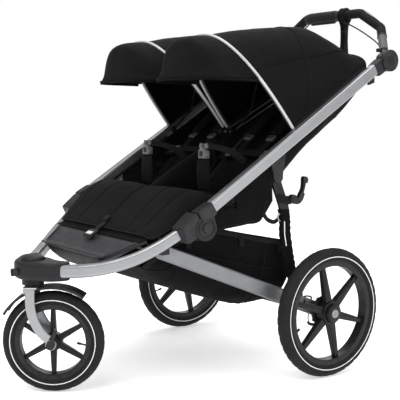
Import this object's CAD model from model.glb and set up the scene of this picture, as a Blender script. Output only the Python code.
import bpy
import bmesh
import math
import random
import numpy as np
from mathutils import Vector, Matrix, noise


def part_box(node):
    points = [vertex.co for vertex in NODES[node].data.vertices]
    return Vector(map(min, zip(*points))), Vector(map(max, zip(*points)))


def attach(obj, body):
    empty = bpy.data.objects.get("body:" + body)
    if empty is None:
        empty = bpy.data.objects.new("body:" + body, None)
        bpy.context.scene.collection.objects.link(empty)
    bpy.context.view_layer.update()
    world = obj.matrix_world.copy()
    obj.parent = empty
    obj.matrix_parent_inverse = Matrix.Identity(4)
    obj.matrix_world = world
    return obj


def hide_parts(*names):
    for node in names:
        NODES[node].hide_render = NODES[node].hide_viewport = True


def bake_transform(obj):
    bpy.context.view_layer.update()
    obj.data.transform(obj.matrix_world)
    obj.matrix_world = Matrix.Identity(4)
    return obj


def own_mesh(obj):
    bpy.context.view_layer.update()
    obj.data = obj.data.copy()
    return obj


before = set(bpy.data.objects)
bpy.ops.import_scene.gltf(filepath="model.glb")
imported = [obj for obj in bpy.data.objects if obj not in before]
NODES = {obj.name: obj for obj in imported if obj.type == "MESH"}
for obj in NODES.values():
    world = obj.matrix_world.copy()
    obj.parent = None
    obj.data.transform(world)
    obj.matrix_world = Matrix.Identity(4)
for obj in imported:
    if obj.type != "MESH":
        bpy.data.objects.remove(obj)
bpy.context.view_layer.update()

random.seed(7)
S = 0.001
scene = bpy.context.scene

# ------------------------------------------------------------------ driving dimensions, millimetres
R_REAR, R_FRONT, TT, XW = 194.0, 145.1, 22.3, 379.9
SWY, SWA, TRAIL = -779.7, -36.68, 55.8
XC, CW = 169.0, 157.0
PIV = (-92.0, 726.0)
KY, KZ = 270.0, 948.0
HY, HZ, HX1, HX2, HCZ = 364.0, 1116.0, 226.0, 132.0, 1062.0
TUBE_ANG = 31.9
AY, AZ = math.cos(math.radians(TUBE_ANG)), math.sin(math.radians(TUBE_ANG))


def zline(y):
    return 598.6 + (y + 297.0) * AZ / AY


# ------------------------------------------------------------------ materials
def _new(name):
    m = bpy.data.materials.new(name)
    m.use_nodes = True
    nt = m.node_tree
    return m, nt, nt.nodes["Principled BSDF"]


def _math(nt, op, a, b=None, clamp=False):
    n = nt.nodes.new("ShaderNodeMath")
    n.operation = op
    n.use_clamp = clamp
    for i, v in enumerate((a, b)):
        if v is None:
            continue
        if isinstance(v, (int, float)):
            n.inputs[i].default_value = v
        else:
            nt.links.new(v, n.inputs[i])
    return n.outputs[0]


def _noise(nt, co, scale, detail=4.0, rough=0.55):
    n = nt.nodes.new("ShaderNodeTexNoise")
    n.inputs["Scale"].default_value = scale
    n.inputs["Detail"].default_value = detail
    n.inputs["Roughness"].default_value = rough
    nt.links.new(co, n.inputs["Vector"])
    return n.outputs["Fac"]


def _wave(nt, co, axis, scale, dist=0.0):
    n = nt.nodes.new("ShaderNodeTexWave")
    n.wave_type = "BANDS"
    n.bands_direction = axis
    n.inputs["Scale"].default_value = scale
    n.inputs["Distortion"].default_value = dist
    n.inputs["Detail"].default_value = 1.0
    nt.links.new(co, n.inputs["Vector"])
    return n.outputs["Fac"]


def _voro(nt, co, scale, feature="F1"):
    n = nt.nodes.new("ShaderNodeTexVoronoi")
    n.feature = feature
    n.inputs["Scale"].default_value = scale
    nt.links.new(co, n.inputs["Vector"])
    return n.outputs["Distance"]


def _map(nt, v, a, b, c, d):
    n = nt.nodes.new("ShaderNodeMapRange")
    nt.links.new(v, n.inputs["Value"])
    for i, x in zip((1, 2, 3, 4), (a, b, c, d)):
        n.inputs[i].default_value = x
    return n.outputs["Result"]


def mat(name, base, rough=0.5, metal=0.0, layers=(), bump=0.25, dist=0.0006, var=0.15, var_scale=9.0, sheen=0.0, sheen_rough=0.4,
        coat=0.0, wear=0.0, wear_col=None, rvar=0.08, spec=0.5, aniso=0.0, dust=0.0):
    """layers: (kind, scale, weight). kind is noise, weave, rib, grain, brushed, twill"""
    m, nt, b = _new(name)
    tc = nt.nodes.new("ShaderNodeTexCoord")
    co = tc.outputs["Object"]
    base = list(base)[:3]
    big = _noise(nt, co, var_scale, 5.0)
    mix = nt.nodes.new("ShaderNodeMix")
    mix.data_type = "RGBA"
    nt.links.new(_map(nt, big, 0.3, 0.7, 0.0, 1.0), mix.inputs["Factor"])
    mix.inputs["A"].default_value = [c * (1 - var) for c in base] + [1]
    mix.inputs["B"].default_value = [min(1, c * (1 + var)) for c in base] + [1]
    col = mix.outputs["Result"]
    h = None
    for kind, sc, w in layers:
        if kind == "noise":
            v = _noise(nt, co, sc, 6.0, 0.6)
        elif kind == "grain":
            v = _voro(nt, co, sc)
        elif kind == "weave":
            x, y, z = (_wave(nt, co, k, sc) for k in "XYZ")
            v = _math(nt, "MULTIPLY", _math(nt, "ADD", _math(nt, "ADD", x, y), z), 0.34)
        elif kind == "twill":
            v = _wave(nt, co, "DIAGONAL", sc, 0.6)
        elif kind == "rib":
            v = _wave(nt, co, "Y", sc, 0.3)
        else:
            mp = nt.nodes.new("ShaderNodeMapping")
            mp.inputs["Scale"].default_value = (1.0, 0.04, 0.06)
            nt.links.new(co, mp.inputs["Vector"])
            v = _noise(nt, mp.outputs["Vector"], sc, 3.0)
        v = _math(nt, "MULTIPLY", v, w)
        h = v if h is None else _math(nt, "ADD", h, v)
    if h is not None:
        bp = nt.nodes.new("ShaderNodeBump")
        bp.inputs["Strength"].default_value = bump
        bp.inputs["Distance"].default_value = dist
        nt.links.new(h, bp.inputs["Height"])
        nt.links.new(bp.outputs["Normal"], b.inputs["Normal"])
    if wear or dust:
        geo = nt.nodes.new("ShaderNodeNewGeometry")
        if wear:
            e = _map(nt, geo.outputs["Pointiness"], 0.53, 0.60, 0.0, wear)
            e = _math(nt, "MULTIPLY", e, _map(nt, _noise(nt, co, 60.0), 0.35, 0.6, 0.0, 1.0))
            mw = nt.nodes.new("ShaderNodeMix")
            mw.data_type = "RGBA"
            nt.links.new(e, mw.inputs["Factor"])
            nt.links.new(col, mw.inputs["A"])
            mw.inputs["B"].default_value = list(wear_col or [min(1, c * 2.2 + 0.04) for c in base]) + [1]
            col = mw.outputs["Result"]
        if dust:
            sep = nt.nodes.new("ShaderNodeSeparateXYZ")
            nt.links.new(geo.outputs["Normal"], sep.inputs[0])
            e = _math(nt, "MULTIPLY", _map(nt, sep.outputs["Z"], 0.2, 1.0, 0.0, dust), _map(nt, _noise(nt, co, 28.0, 8.0), 0.35, 0.75, 0.2, 1.0))
            md = nt.nodes.new("ShaderNodeMix")
            md.data_type = "RGBA"
            nt.links.new(e, md.inputs["Factor"])
            nt.links.new(col, md.inputs["A"])
            md.inputs["B"].default_value = (0.16, 0.155, 0.15, 1)
            col = md.outputs["Result"]
    nt.links.new(col, b.inputs["Base Color"])
    nt.links.new(_map(nt, _noise(nt, co, 35.0), 0.3, 0.7, max(0.02, rough - rvar), min(1.0, rough + rvar)), b.inputs["Roughness"])
    b.inputs["Metallic"].default_value = metal
    b.inputs["Specular IOR Level"].default_value = spec
    if sheen:
        b.inputs["Sheen Weight"].default_value = sheen
        b.inputs["Sheen Roughness"].default_value = sheen_rough
        b.inputs["Sheen Tint"].default_value = (0.75, 0.77, 0.8, 1)
    if coat:
        b.inputs["Coat Weight"].default_value = coat
        b.inputs["Coat Roughness"].default_value = 0.25
    if aniso:
        b.inputs["Anisotropic"].default_value = aniso
    m.diffuse_color = base + [1]
    return m


M = {
    "silver": mat("anodised_silver", (0.34, 0.345, 0.355), 0.40, 0.92, [("brushed", 900.0, 0.7), ("noise", 700.0, 0.3)], 0.12, 0.0003, 0.05, 5.0, rvar=0.05),
    "silver_dark": mat("anodised_grey", (0.20, 0.204, 0.212), 0.46, 0.85, [("brushed", 800.0, 0.6), ("noise", 600.0, 0.4)], 0.12, 0.0003, 0.06, 5.0),
    "dark": mat("grained_plastic_dark", (0.0095, 0.0098, 0.011), 0.50, 0, [("grain", 700.0, 0.6), ("noise", 900.0, 0.4)], 0.22, 0.0004, 0.15, 8.0, wear=0.35, wear_col=(0.05, 0.05, 0.055), spec=0.26),
    "greyp": mat("grained_plastic_grey", (0.021, 0.022, 0.0245), 0.5, 0, [("grain", 800.0, 0.6), ("noise", 900.0, 0.4)], 0.25, 0.0004, 0.1, 7.0, wear=0.3, dust=0.06, spec=0.24),
    "blackm": mat("satin_black_paint", (0.006, 0.006, 0.0065), 0.38, 0, [("noise", 500.0, 1.0)], 0.08, 0.0003, 0.1, 7.0, coat=0.08, wear=0.3, wear_col=(0.05, 0.05, 0.05), spec=0.25),
    "tyre": mat("tyre_rubber", (0.0105, 0.0105, 0.0112), 0.75, 0, [("noise", 260.0, 0.6), ("grain", 520.0, 0.4)], 0.35, 0.0006, 0.25, 12.0, dust=0.04, spec=0.2),
    "rim": mat("wheel_plastic", (0.0052, 0.0053, 0.0060), 0.42, 0, [("noise", 600.0, 1.0)], 0.15, 0.0003, 0.12, 8.0, wear=0.3, wear_col=(0.04, 0.04, 0.043), spec=0.25),
    "fabric": mat("woven_black", (0.0040, 0.0040, 0.0043), 0.85, 0, [("weave", 330.0, 0.8), ("noise", 240.0, 0.5)], 0.45, 0.0007, 0.3, 7.0, sheen=0.012, rvar=0.05, spec=0.08),
    "canopyf": mat("canopy_cloth_black", (0.0042, 0.0042, 0.0045), 0.80, 0, [("weave", 420.0, 0.7), ("noise", 150.0, 0.5)], 0.35, 0.0006, 0.25, 6.0, sheen=0.014, rvar=0.06, spec=0.09),
    "lining": mat("lining_black", (0.0030, 0.0030, 0.0033), 0.88, 0, [("twill", 330.0, 0.8), ("noise", 240.0, 0.4)], 0.4, 0.0006, 0.3, 9.0, sheen=0.008, spec=0.05),
    "knit": mat("padded_knit_black", (0.0052, 0.0052, 0.0056), 0.86, 0, [("weave", 240.0, 0.7), ("grain", 420.0, 0.5)], 0.55, 0.0008, 0.28, 8.0, sheen=0.022, rvar=0.05, spec=0.08, dust=0.01),
    "webbing": mat("webbing_black", (0.0075, 0.0075, 0.008), 0.70, 0, [("twill", 420.0, 1.0), ("rib", 300.0, 0.5)], 0.6, 0.0007, 0.2, 14.0, sheen=0.02, spec=0.14),
    "binding": mat("binding_black", (0.0085, 0.0085, 0.009), 0.7, 0, [("rib", 520.0, 1.0)], 0.5, 0.0006, 0.15, 14.0, sheen=0.02, spec=0.12),
    "thread": mat("thread_black", (0.018, 0.018, 0.019), 0.6, 0, [("noise", 900.0, 1.0)], 0.4, 0.0005, 0.2, 20.0, spec=0.2),
    "foam": mat("foam_grip", (0.0085, 0.0085, 0.009), 0.8, 0, [("grain", 420.0, 0.9), ("noise", 300.0, 0.5)], 0.5, 0.0009, 0.2, 10.0, spec=0.16, sheen=0.01),
    "steel": mat("brushed_steel", (0.42, 0.42, 0.43), 0.34, 1.0, [("noise", 800.0, 1.0)], 0.1, 0.0003, 0.05, 9.0),
    "dsteel": mat("dark_steel", (0.03, 0.03, 0.033), 0.4, 0.7, [("noise", 700.0, 1.0)], 0.1, 0.0003, 0.1, 9.0, spec=0.3),
    "hub": mat("hub_satin_metal", (0.24, 0.245, 0.26), 0.38, 0.9, [("noise", 700.0, 1.0)], 0.12, 0.0003, 0.05, 9.0),
    "button": mat("button_grey_plastic", (0.12, 0.122, 0.125), 0.5, 0, [("noise", 600.0, 1.0)], 0.15, 0.0003, 0.05, 8.0, wear=0.3, spec=0.3),
    "buckle": mat("buckle_grey_plastic", (0.095, 0.098, 0.10), 0.46, 0, [("grain", 700.0, 1.0)], 0.2, 0.0003, 0.08, 8.0, wear=0.3, spec=0.3),
    "reflect": mat("reflective_silver", (0.50, 0.51, 0.52), 0.45, 0.2, [("grain", 900.0, 0.8), ("noise", 300.0, 0.4)], 0.2, 0.0003, 0.05, 16.0),
    "white": mat("reflective_white", (0.74, 0.74, 0.74), 0.5, 0, [("grain", 900.0, 1.0)], 0.2, 0.0003, 0.04, 16.0),
    "label": mat("plain_patch", (0.62, 0.62, 0.61), 0.6, 0, [("weave", 500.0, 1.0)], 0.2, 0.0003, 0.03, 16.0),
    "greysleeve": mat("sleeve_grey_plastic", (0.085, 0.087, 0.091), 0.55, 0, [("noise", 500.0, 0.6), ("grain", 600.0, 0.4)], 0.2, 0.0004, 0.06, 9.0, spec=0.25),
    "gripgrey": mat("grip_soft_plastic", (0.0125, 0.013, 0.014), 0.58, 0, [("noise", 500.0, 0.5), ("grain", 500.0, 0.5)], 0.3, 0.0004, 0.1, 9.0, spec=0.2),
    "cable": mat("cable_jacket", (0.006, 0.006, 0.006), 0.5, 0, [("noise", 700.0, 1.0)], 0.1, 0.0003, 0.1, 12.0, spec=0.2),
}


def mesh_mat():
    m, nt, b = _new("open_mesh_black")
    tc = nt.nodes.new("ShaderNodeTexCoord")
    co = tc.outputs["Object"]
    wy = _wave(nt, co, "Y", 56.0)
    wz = _wave(nt, co, "Z", 84.0)
    h = _math(nt, "MAXIMUM", wy, wz)
    a = _map(nt, h, 0.35, 0.55, 0.72, 1.0)
    nt.links.new(a, b.inputs["Alpha"])
    b.inputs["Base Color"].default_value = (0.006, 0.006, 0.0065, 1)
    b.inputs["Roughness"].default_value = 0.75
    b.inputs["Specular IOR Level"].default_value = 0.1
    b.inputs["Sheen Weight"].default_value = 0.03
    bp = nt.nodes.new("ShaderNodeBump")
    bp.inputs["Strength"].default_value = 0.6
    bp.inputs["Distance"].default_value = 0.0008
    nt.links.new(h, bp.inputs["Height"])
    nt.links.new(bp.outputs["Normal"], b.inputs["Normal"])
    return m


M["mesh"] = mesh_mat()


# ------------------------------------------------------------------ mesh helpers (points in millimetres)
def obj_from(name, verts, faces, material, smooth=True):
    me = bpy.data.meshes.new(name)
    me.from_pydata([tuple(float(c) * S for c in v) for v in verts], [], [tuple(int(i) for i in f) for f in faces])
    me.update()
    o = bpy.data.objects.new(name, me)
    scene.collection.objects.link(o)
    if smooth:
        me.polygons.foreach_set("use_smooth", [True] * len(me.polygons))
    me.materials.append(M[material] if isinstance(material, str) else material)
    return o


def apply_all(o):
    dg = bpy.context.evaluated_depsgraph_get()
    me = bpy.data.meshes.new_from_object(o.evaluated_get(dg))
    o.modifiers.clear()
    old = o.data
    o.data = me
    bpy.data.meshes.remove(old)
    return o


def grid(name, rows, material, closed=False, thick=0.0, sub=0, off=-1.0, smooth=True):
    """rows of points; thick in mm makes a skin"""
    nr, nc = len(rows), len(rows[0])
    v = [p for r in rows for p in r]
    f = []
    for i in range(nr - 1):
        for j in range(nc if closed else nc - 1):
            k = (j + 1) % nc
            f.append((i * nc + j, i * nc + k, (i + 1) * nc + k, (i + 1) * nc + j))
    o = obj_from(name, v, f, material, smooth)
    if thick:
        md = o.modifiers.new("skin", "SOLIDIFY")
        md.thickness = thick * S
        md.offset = off
        md.use_even_offset = False
    if sub:
        md = o.modifiers.new("sub", "SUBSURF")
        md.levels = md.render_levels = sub
    if thick or sub:
        apply_all(o)
    return o


def cr(pts, n):
    """Catmull-Rom through pts, n samples per span"""
    P = [np.array(p, float) for p in pts]
    if len(P) < 3:
        return [P[0] + (P[-1] - P[0]) * t for t in np.linspace(0, 1, n + 1)]
    P = [2 * P[0] - P[1]] + P + [2 * P[-1] - P[-2]]
    out = []
    for i in range(1, len(P) - 2):
        for k in range(n):
            t = k / n
            a, b, c, d = P[i - 1], P[i], P[i + 1], P[i + 2]
            out.append(0.5 * ((2 * b) + (c - a) * t + (2 * a - 5 * b + 4 * c - d) * t * t + (3 * b - a - 3 * c + d) * t ** 3))
    out.append(P[-2])
    return out


def sweep(name, pts, prof, material, up=(0, 0, 1), closed=False, caps=True, n=6, spline=True, twist=None):
    """prof: closed list of (side, normal) offsets in mm. up fixes the profile's normal direction."""
    path = cr(pts, n) if spline else [np.array(p, float) for p in pts]
    up = np.array(up, float)
    L = len(path)
    rows = []
    for i in range(L):
        a = path[(i - 1) % L] if (closed or i > 0) else path[i]
        b = path[(i + 1) % L] if (closed or i < L - 1) else path[i]
        t = b - a
        t = t / (np.linalg.norm(t) + 1e-9)
        u = up if twist is None else np.array(twist(i / (L - 1)), float)
        s = np.cross(t, u)
        s = s / (np.linalg.norm(s) + 1e-9)
        nn = np.cross(s, t)
        rows.append([path[i] + s * p[0] + nn * p[1] for p in prof])
    nc = len(prof)
    v = [p for r in rows for p in r]
    f = []
    for i in range(L if closed else L - 1):
        i2 = (i + 1) % L
        for j in range(nc):
            k = (j + 1) % nc
            f.append((i * nc + j, i2 * nc + j, i2 * nc + k, i * nc + k))
    if caps and not closed:
        f.append(tuple(range(nc)))
        f.append(tuple((L - 1) * nc + j for j in reversed(range(nc))))
    o = obj_from(name, v, f, material)
    fix_normals(o)
    return o


def fix_normals(o):
    bm = bmesh.new()
    bm.from_mesh(o.data)
    bmesh.ops.recalc_face_normals(bm, faces=bm.faces)
    bm.to_mesh(o.data)
    bm.free()
    return o


def circ(r, n=12):
    return [(r * math.cos(2 * math.pi * i / n), r * math.sin(2 * math.pi * i / n)) for i in range(n)]


def band(w, t, r=None):
    """rounded flat profile"""
    r = r if r is not None else t * 0.5
    out = []
    for cx, cy, a0 in ((w / 2 - r, t / 2 - r, 0), (-w / 2 + r, t / 2 - r, 90), (-w / 2 + r, -t / 2 + r, 180), (w / 2 - r, -t / 2 + r, 270)):
        for k in range(4):
            a = math.radians(a0 + k * 30)
            out.append((cx + r * math.cos(a), cy + r * math.sin(a)))
    return out


def tube(name, pts, r, material, n=6, seg=12, closed=False, up=(0.31, 0.22, 0.93), spline=True):
    return sweep(name, pts, circ(r, seg), material, up=up, closed=closed, n=n, spline=spline)


def revolve(name, prof, material, centre, n=96, turn=None, closed=True, disp=None):
    """prof: list of (x, r) about an axis along X through centre; turn rotates the result about the swivel axis"""
    rows = []
    for i in range(n):
        a = 2 * math.pi * i / n
        row = []
        for j, (x, r) in enumerate(prof):
            rr = r + (disp(i, n, j, x, r) if disp else 0.0)
            row.append((centre[0] + x, centre[1] + rr * math.sin(a), centre[2] + rr * math.cos(a)))
        rows.append(row)
    rows.append(rows[0])
    nr, nc = n, len(prof)
    v = [p for r in rows[:-1] for p in r]
    f = []
    for i in range(n):
        i2 = (i + 1) % n
        for j in range(nc if closed else nc - 1):
            k = (j + 1) % nc
            f.append((i * nc + j, i2 * nc + j, i2 * nc + k, i * nc + k))
    if turn:
        v = [rot_sw(p) for p in v]
    o = obj_from(name, v, f, material)
    fix_normals(o)
    return o


def rot_sw(p):
    """straight-ahead fork coordinates to the fork's heading at rest"""
    a = math.radians(SWA)
    x, y = p[0], p[1] - SWY
    return (x * math.cos(a) - y * math.sin(a), x * math.sin(a) + y * math.cos(a) + SWY, p[2])


def join(name, objs):
    """one mesh out of several, keeping their materials"""
    vs, fs, mats, mi, sm = [], [], [], [], []
    for o in objs:
        base = len(vs)
        mw = o.matrix_world
        vs += [mw @ v.co for v in o.data.vertices]
        idx = []
        for m in o.data.materials:
            if m not in mats:
                mats.append(m)
            idx.append(mats.index(m))
        for p in o.data.polygons:
            fs.append([base + i for i in p.vertices])
            mi.append(idx[p.material_index] if idx else 0)
            sm.append(p.use_smooth)
    me = bpy.data.meshes.new(name)
    me.from_pydata(vs, [], fs)
    for m in mats:
        me.materials.append(m)
    me.polygons.foreach_set("material_index", mi)
    me.polygons.foreach_set("use_smooth", sm)
    me.update()
    for o in objs:
        d = o.data
        bpy.data.objects.remove(o)
        bpy.data.meshes.remove(d)
    o = bpy.data.objects.new(name, me)
    scene.collection.objects.link(o)
    return o


def rbox(name, c, size, material, bevel=2.0, rot=None, seg=3):
    bm = bmesh.new()
    bmesh.ops.create_cube(bm, size=1.0)
    for v in bm.verts:
        v.co = Vector((v.co.x * size[0] * S, v.co.y * size[1] * S, v.co.z * size[2] * S))
    if bevel:
        bmesh.ops.bevel(bm, geom=list(bm.edges), offset=bevel * S, segments=seg, profile=0.5, affect="EDGES")
    me = bpy.data.meshes.new(name)
    R = rot or Matrix.Identity(3)
    for v in bm.verts:
        v.co = R @ v.co + Vector([q * S for q in c])
    bm.to_mesh(me)
    bm.free()
    me.polygons.foreach_set("use_smooth", [True] * len(me.polygons))
    me.materials.append(M[material])
    o = bpy.data.objects.new(name, me)
    scene.collection.objects.link(o)
    return o


def disc(name, c, r, x0, x1, material, bevel=1.0, turn=False, seg=48, hole=0.0):
    """round piece along X"""
    b = min(bevel, (x1 - x0) * 0.45)
    prof = [(x0, hole + 1e-3), (x0, r - b), (x0 + b * 0.3, r - b * 0.3), (x0 + b, r), (x1 - b, r), (x1 - b * 0.3, r - b * 0.3), (x1, r - b), (x1, hole + 1e-3)]
    return revolve(name, prof, material, (0, c[0], c[1]), seg, turn, closed=True)


def along(path, k):
    """point and tangent at share k of a polyline"""
    P = [np.array(p, float) for p in path]
    d = [0.0]
    for a, b in zip(P, P[1:]):
        d.append(d[-1] + float(np.linalg.norm(b - a)))
    s = k * d[-1]
    for i in range(len(P) - 1):
        if s <= d[i + 1] or i == len(P) - 2:
            t = (s - d[i]) / max(d[i + 1] - d[i], 1e-9)
            tg = P[i + 1] - P[i]
            return P[i] + tg * t, tg / (np.linalg.norm(tg) + 1e-9), d[-1]
    return P[-1], np.array([1.0, 0, 0]), d[-1]


def stitches(name, path, normal, pitch=5.5, length=3.6, r=0.45, material="thread"):
    """a run of small thread stitches along a path; normal may be a vector or a function of the share"""
    L = along(path, 0)[2]
    n = max(2, int(L / pitch))
    v, f = [], []
    for i in range(n):
        p, t, _ = along(path, (i + 0.5) / n)
        nn = np.array(normal((i + 0.5) / n) if callable(normal) else normal, float)
        s = np.cross(t, nn)
        s = s / (np.linalg.norm(s) + 1e-9)
        nn = np.cross(s, t)
        b = len(v)
        for k, (u, h) in enumerate(((-0.5, 0.0), (-0.25, 1.0), (0.25, 1.0), (0.5, 0.0))):
            c = p + t * u * length + nn * h * r
            for q in (-1, 1):
                v.append(c + s * q * r)
        for k in range(3):
            f.append((b + 2 * k, b + 2 * k + 1, b + 2 * k + 3, b + 2 * k + 2))
    return obj_from(name, v, f, material)


def snoise(x, y, z, sc):
    return noise.noise(Vector((x * sc, y * sc, z * sc)))


def ridem(body, *objs):
    for o in objs:
        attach(o, body)


def mirrored(o, name):
    """mirror image across the centre plane as a new object"""
    me = o.data.copy()
    for v in me.vertices:
        v.co.x = -v.co.x
    me.flip_normals()
    q = bpy.data.objects.new(name, me)
    scene.collection.objects.link(q)
    return q
# ------------------------------------------------------------------ materials on the CAD pieces
CADM = {}
for k, names in {
    "silver": ("front_tube_left", "front_tube_right", "upper_tube_left", "upper_tube_right", "fork"),
    "silver_dark": ("lower_tubes",),
    "dark": ("nose_housing", "nose_cover", "hinge_sleeves", "hinge_discs", "handle_knuckles", "mudguard", "pivot_brackets", "transport_hook", "footrest_tray", "brake_pedal"),
    "gripgrey": ("twist_brake",),
    "greyp": ("footrest_panel",),
    "greysleeve": ("handle_sleeves",),
    "blackm": ("frame_cross_tube", "seat_base_tube", "back_cross_tube", "rear_struts", "rear_axle", "handlebar"),
    "tyre": ("front_tyre", "rear_tyre_left", "rear_tyre_right"),
    "rim": ("front_wheel", "rear_wheel_left", "rear_wheel_right"),
    "knit": ("calf_pad", "seat_pads", "seat_back_left", "seat_back_right"),
    "fabric": ("seat_divider", "crotch_straps", "canopy_left", "canopy_right", "visor_left", "visor_right", "basket"),
    "mesh": ("side_panels",),
    "webbing": ("harness_left", "harness_right", "wrist_strap"),
    "foam": ("handle_foam",),
    "steel": ("swivel_bearings",),
    "dsteel": ("front_skewer", "hinge_pins", "front_bow_left", "front_bow_right", "rear_bow_left", "rear_bow_right"),
    "buckle": ("buckles",),
    "dark2": ("tilt_button_left", "tilt_button_right", "swivel_lock_knob"),
    "hub": ("hub_button_left", "hub_button_right"),
}.items():
    for n_ in names:
        CADM[n_] = "dark" if k == "dark2" else k
for n_, o_ in NODES.items():
    o_.data.materials.clear()
    o_.data.materials.append(M[CADM.get(n_, "dark")])
    # smooth shading by angle on the CAD meshes
    try:
        o_.data.polygons.foreach_set("use_smooth", [True] * len(o_.data.polygons))
        o_.data.set_sharp_from_angle(angle=math.radians(32))
    except Exception:
        pass

# ------------------------------------------------------------------ tyres with cut tread and a reflective ring
def tyre(name, xc, y, z, R, t, turn=False, n=216):
    rc = R - t
    angs = [i / 40.0 * 2 * math.pi for i in range(40)]
    prof = []
    for a in angs:
        # 0 is the crown, going round the section
        x, r = t * math.sin(a), rc + t * math.cos(a)
        prof.append((x, r))

    def disp(i, n_, j, x, r):
        a = angs[j]
        aa = min(a, 2 * math.pi - a)
        side = 1 if a < math.pi else -1
        if aa > 1.45:
            return 0.0
        if aa < 0.12:
            return 0.0 if (i % 6) < 5 else -0.9
        k = i + (2 if side > 0 else 5) + int(aa * 5.0)
        d = 0.0 if (k % 6) < 4 else -1.5
        if abs(aa - 0.36) < 0.09:
            d = min(d, -1.2)
        if aa > 1.05:
            d = 0.0 if (i % 4) < 3 else -0.7
        return d

    o = revolve(name, prof, "tyre", (xc, y, z), n, turn, disp=disp)
    return o


def tyre_rings(name, xc, y, z, R, t, turn=False):
    """reflective ring and fine moulded ribs on both side walls"""
    out = []
    rc = R - t
    for sg in (1, -1):
        for dr, w, h, m_ in ((-2.1, 1.25, 0.5, "white"), (4.8, 0.5, 0.35, "tyre"), (-8.5, 0.6, 0.4, "tyre"), (-10.6, 0.5, 0.4, "tyre")):
            r = rc + dr
            x = math.sqrt(max(t * t - dr * dr, 0.0))
            nx, nr = x / t, dr / t
            pr = []
            for u, v_ in ((-w, -0.4), (-w, h * 0.6), (-w * 0.5, h), (w * 0.5, h), (w, h * 0.6), (w, -0.4)):
                pr.append((sg * (x + nx * v_ - nr * u * 1.0), r + nr * v_ + nx * u))
            out.append(revolve("r", pr, m_, (xc, y, z), 144, turn))
    return join(name, out)


def valve(xc, y, z, r_in, ang, sgn, turn=False):
    """valve stem through the rim with its cap, plus the rim bore collar"""
    a = math.radians(ang)
    d = np.array([0.0, math.sin(a), math.cos(a)])
    c = np.array([xc + 3.0 * sgn, y, z])
    pts = [c + d * (r_in + 2), c + d * (r_in - 8) + np.array([2.0 * sgn, 0, 0]), c + d * (r_in - 17) + np.array([5.0 * sgn, 0, 0])]
    s1 = tube("v1", pts, 2.6, "dsteel", 5, 10)
    e = pts[-1]
    s2 = tube("v2", [e, e - d * 10 + np.array([2.5 * sgn, 0, 0])], 3.7, "rim", 3, 10)
    o = join("v", [s1, s2])
    if turn:
        for v in o.data.vertices:
            v.co = Vector([q * S for q in rot_sw([k / S for k in v.co])])
    return o


def rim_detail(name, xc, y, z, R, t, r_in, hub_r, sgn, turn=False, nsp=6, phase=12.0):
    out = []
    rim_o = R - t - 3
    for sg in (1, -1):
        # rolled flange of the rim, well behind the tyre bead
        out.append(revolve("f", [(sg * 14.0, rim_o - 1), (sg * 17.2, rim_o - 3.5), (sg * 18.0, rim_o - 6.5), (sg * 17.0, rim_o - 9.0), (sg * 15.2, rim_o - 8.0)], "rim", (xc, y, z), 96, turn))
        out.append(revolve("g", [(sg * 12.0, r_in + 0.6), (sg * 15.6, r_in + 0.4), (sg * 16.0, r_in + 1.8), (sg * 15.0, r_in + 3.0)], "rim", (xc, y, z), 96, turn))
    # raised spine and pocket lips on each spoke
    for i in range(nsp):
        a = math.radians(-(phase + 360.0 / nsp * i))
        d = np.array([0.0, math.sin(a), math.cos(a)])
        q = np.array([0.0, math.cos(a), -math.sin(a)])
        for sg in (1, -1):
            c = np.array([xc, y, z])
            p0 = c + d * (hub_r + 1) + np.array([sg * 10.6, 0, 0])
            p1 = c + d * (r_in - 1) + np.array([sg * 7.8, 0, 0])
            rows = []
            for k in range(9):
                u = k / 8.0
                p = p0 + (p1 - p0) * u
                w = (5.2 - 2.2 * u)
                hgt = 2.3 * math.sin(math.pi * min(1, max(0, (u * 1.06 - 0.03)))) ** 0.4 if 0 < u < 1 else 0.0
                rows.append([p - q * w, p - q * w * 0.45 + np.array([sg * hgt, 0, 0]), p + q * w * 0.45 + np.array([sg * hgt, 0, 0]), p + q * w])
            out.append(grid("s", rows, "rim", thick=0.0))
            if turn:
                for v in out[-1].data.vertices:
                    v.co = Vector([k2 * S for k2 in rot_sw([k / S for k in v.co])])
    out.append(valve(xc, y, z, r_in, 98.0 if turn else 250.0, sgn, turn))
    return join(name, out)


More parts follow.
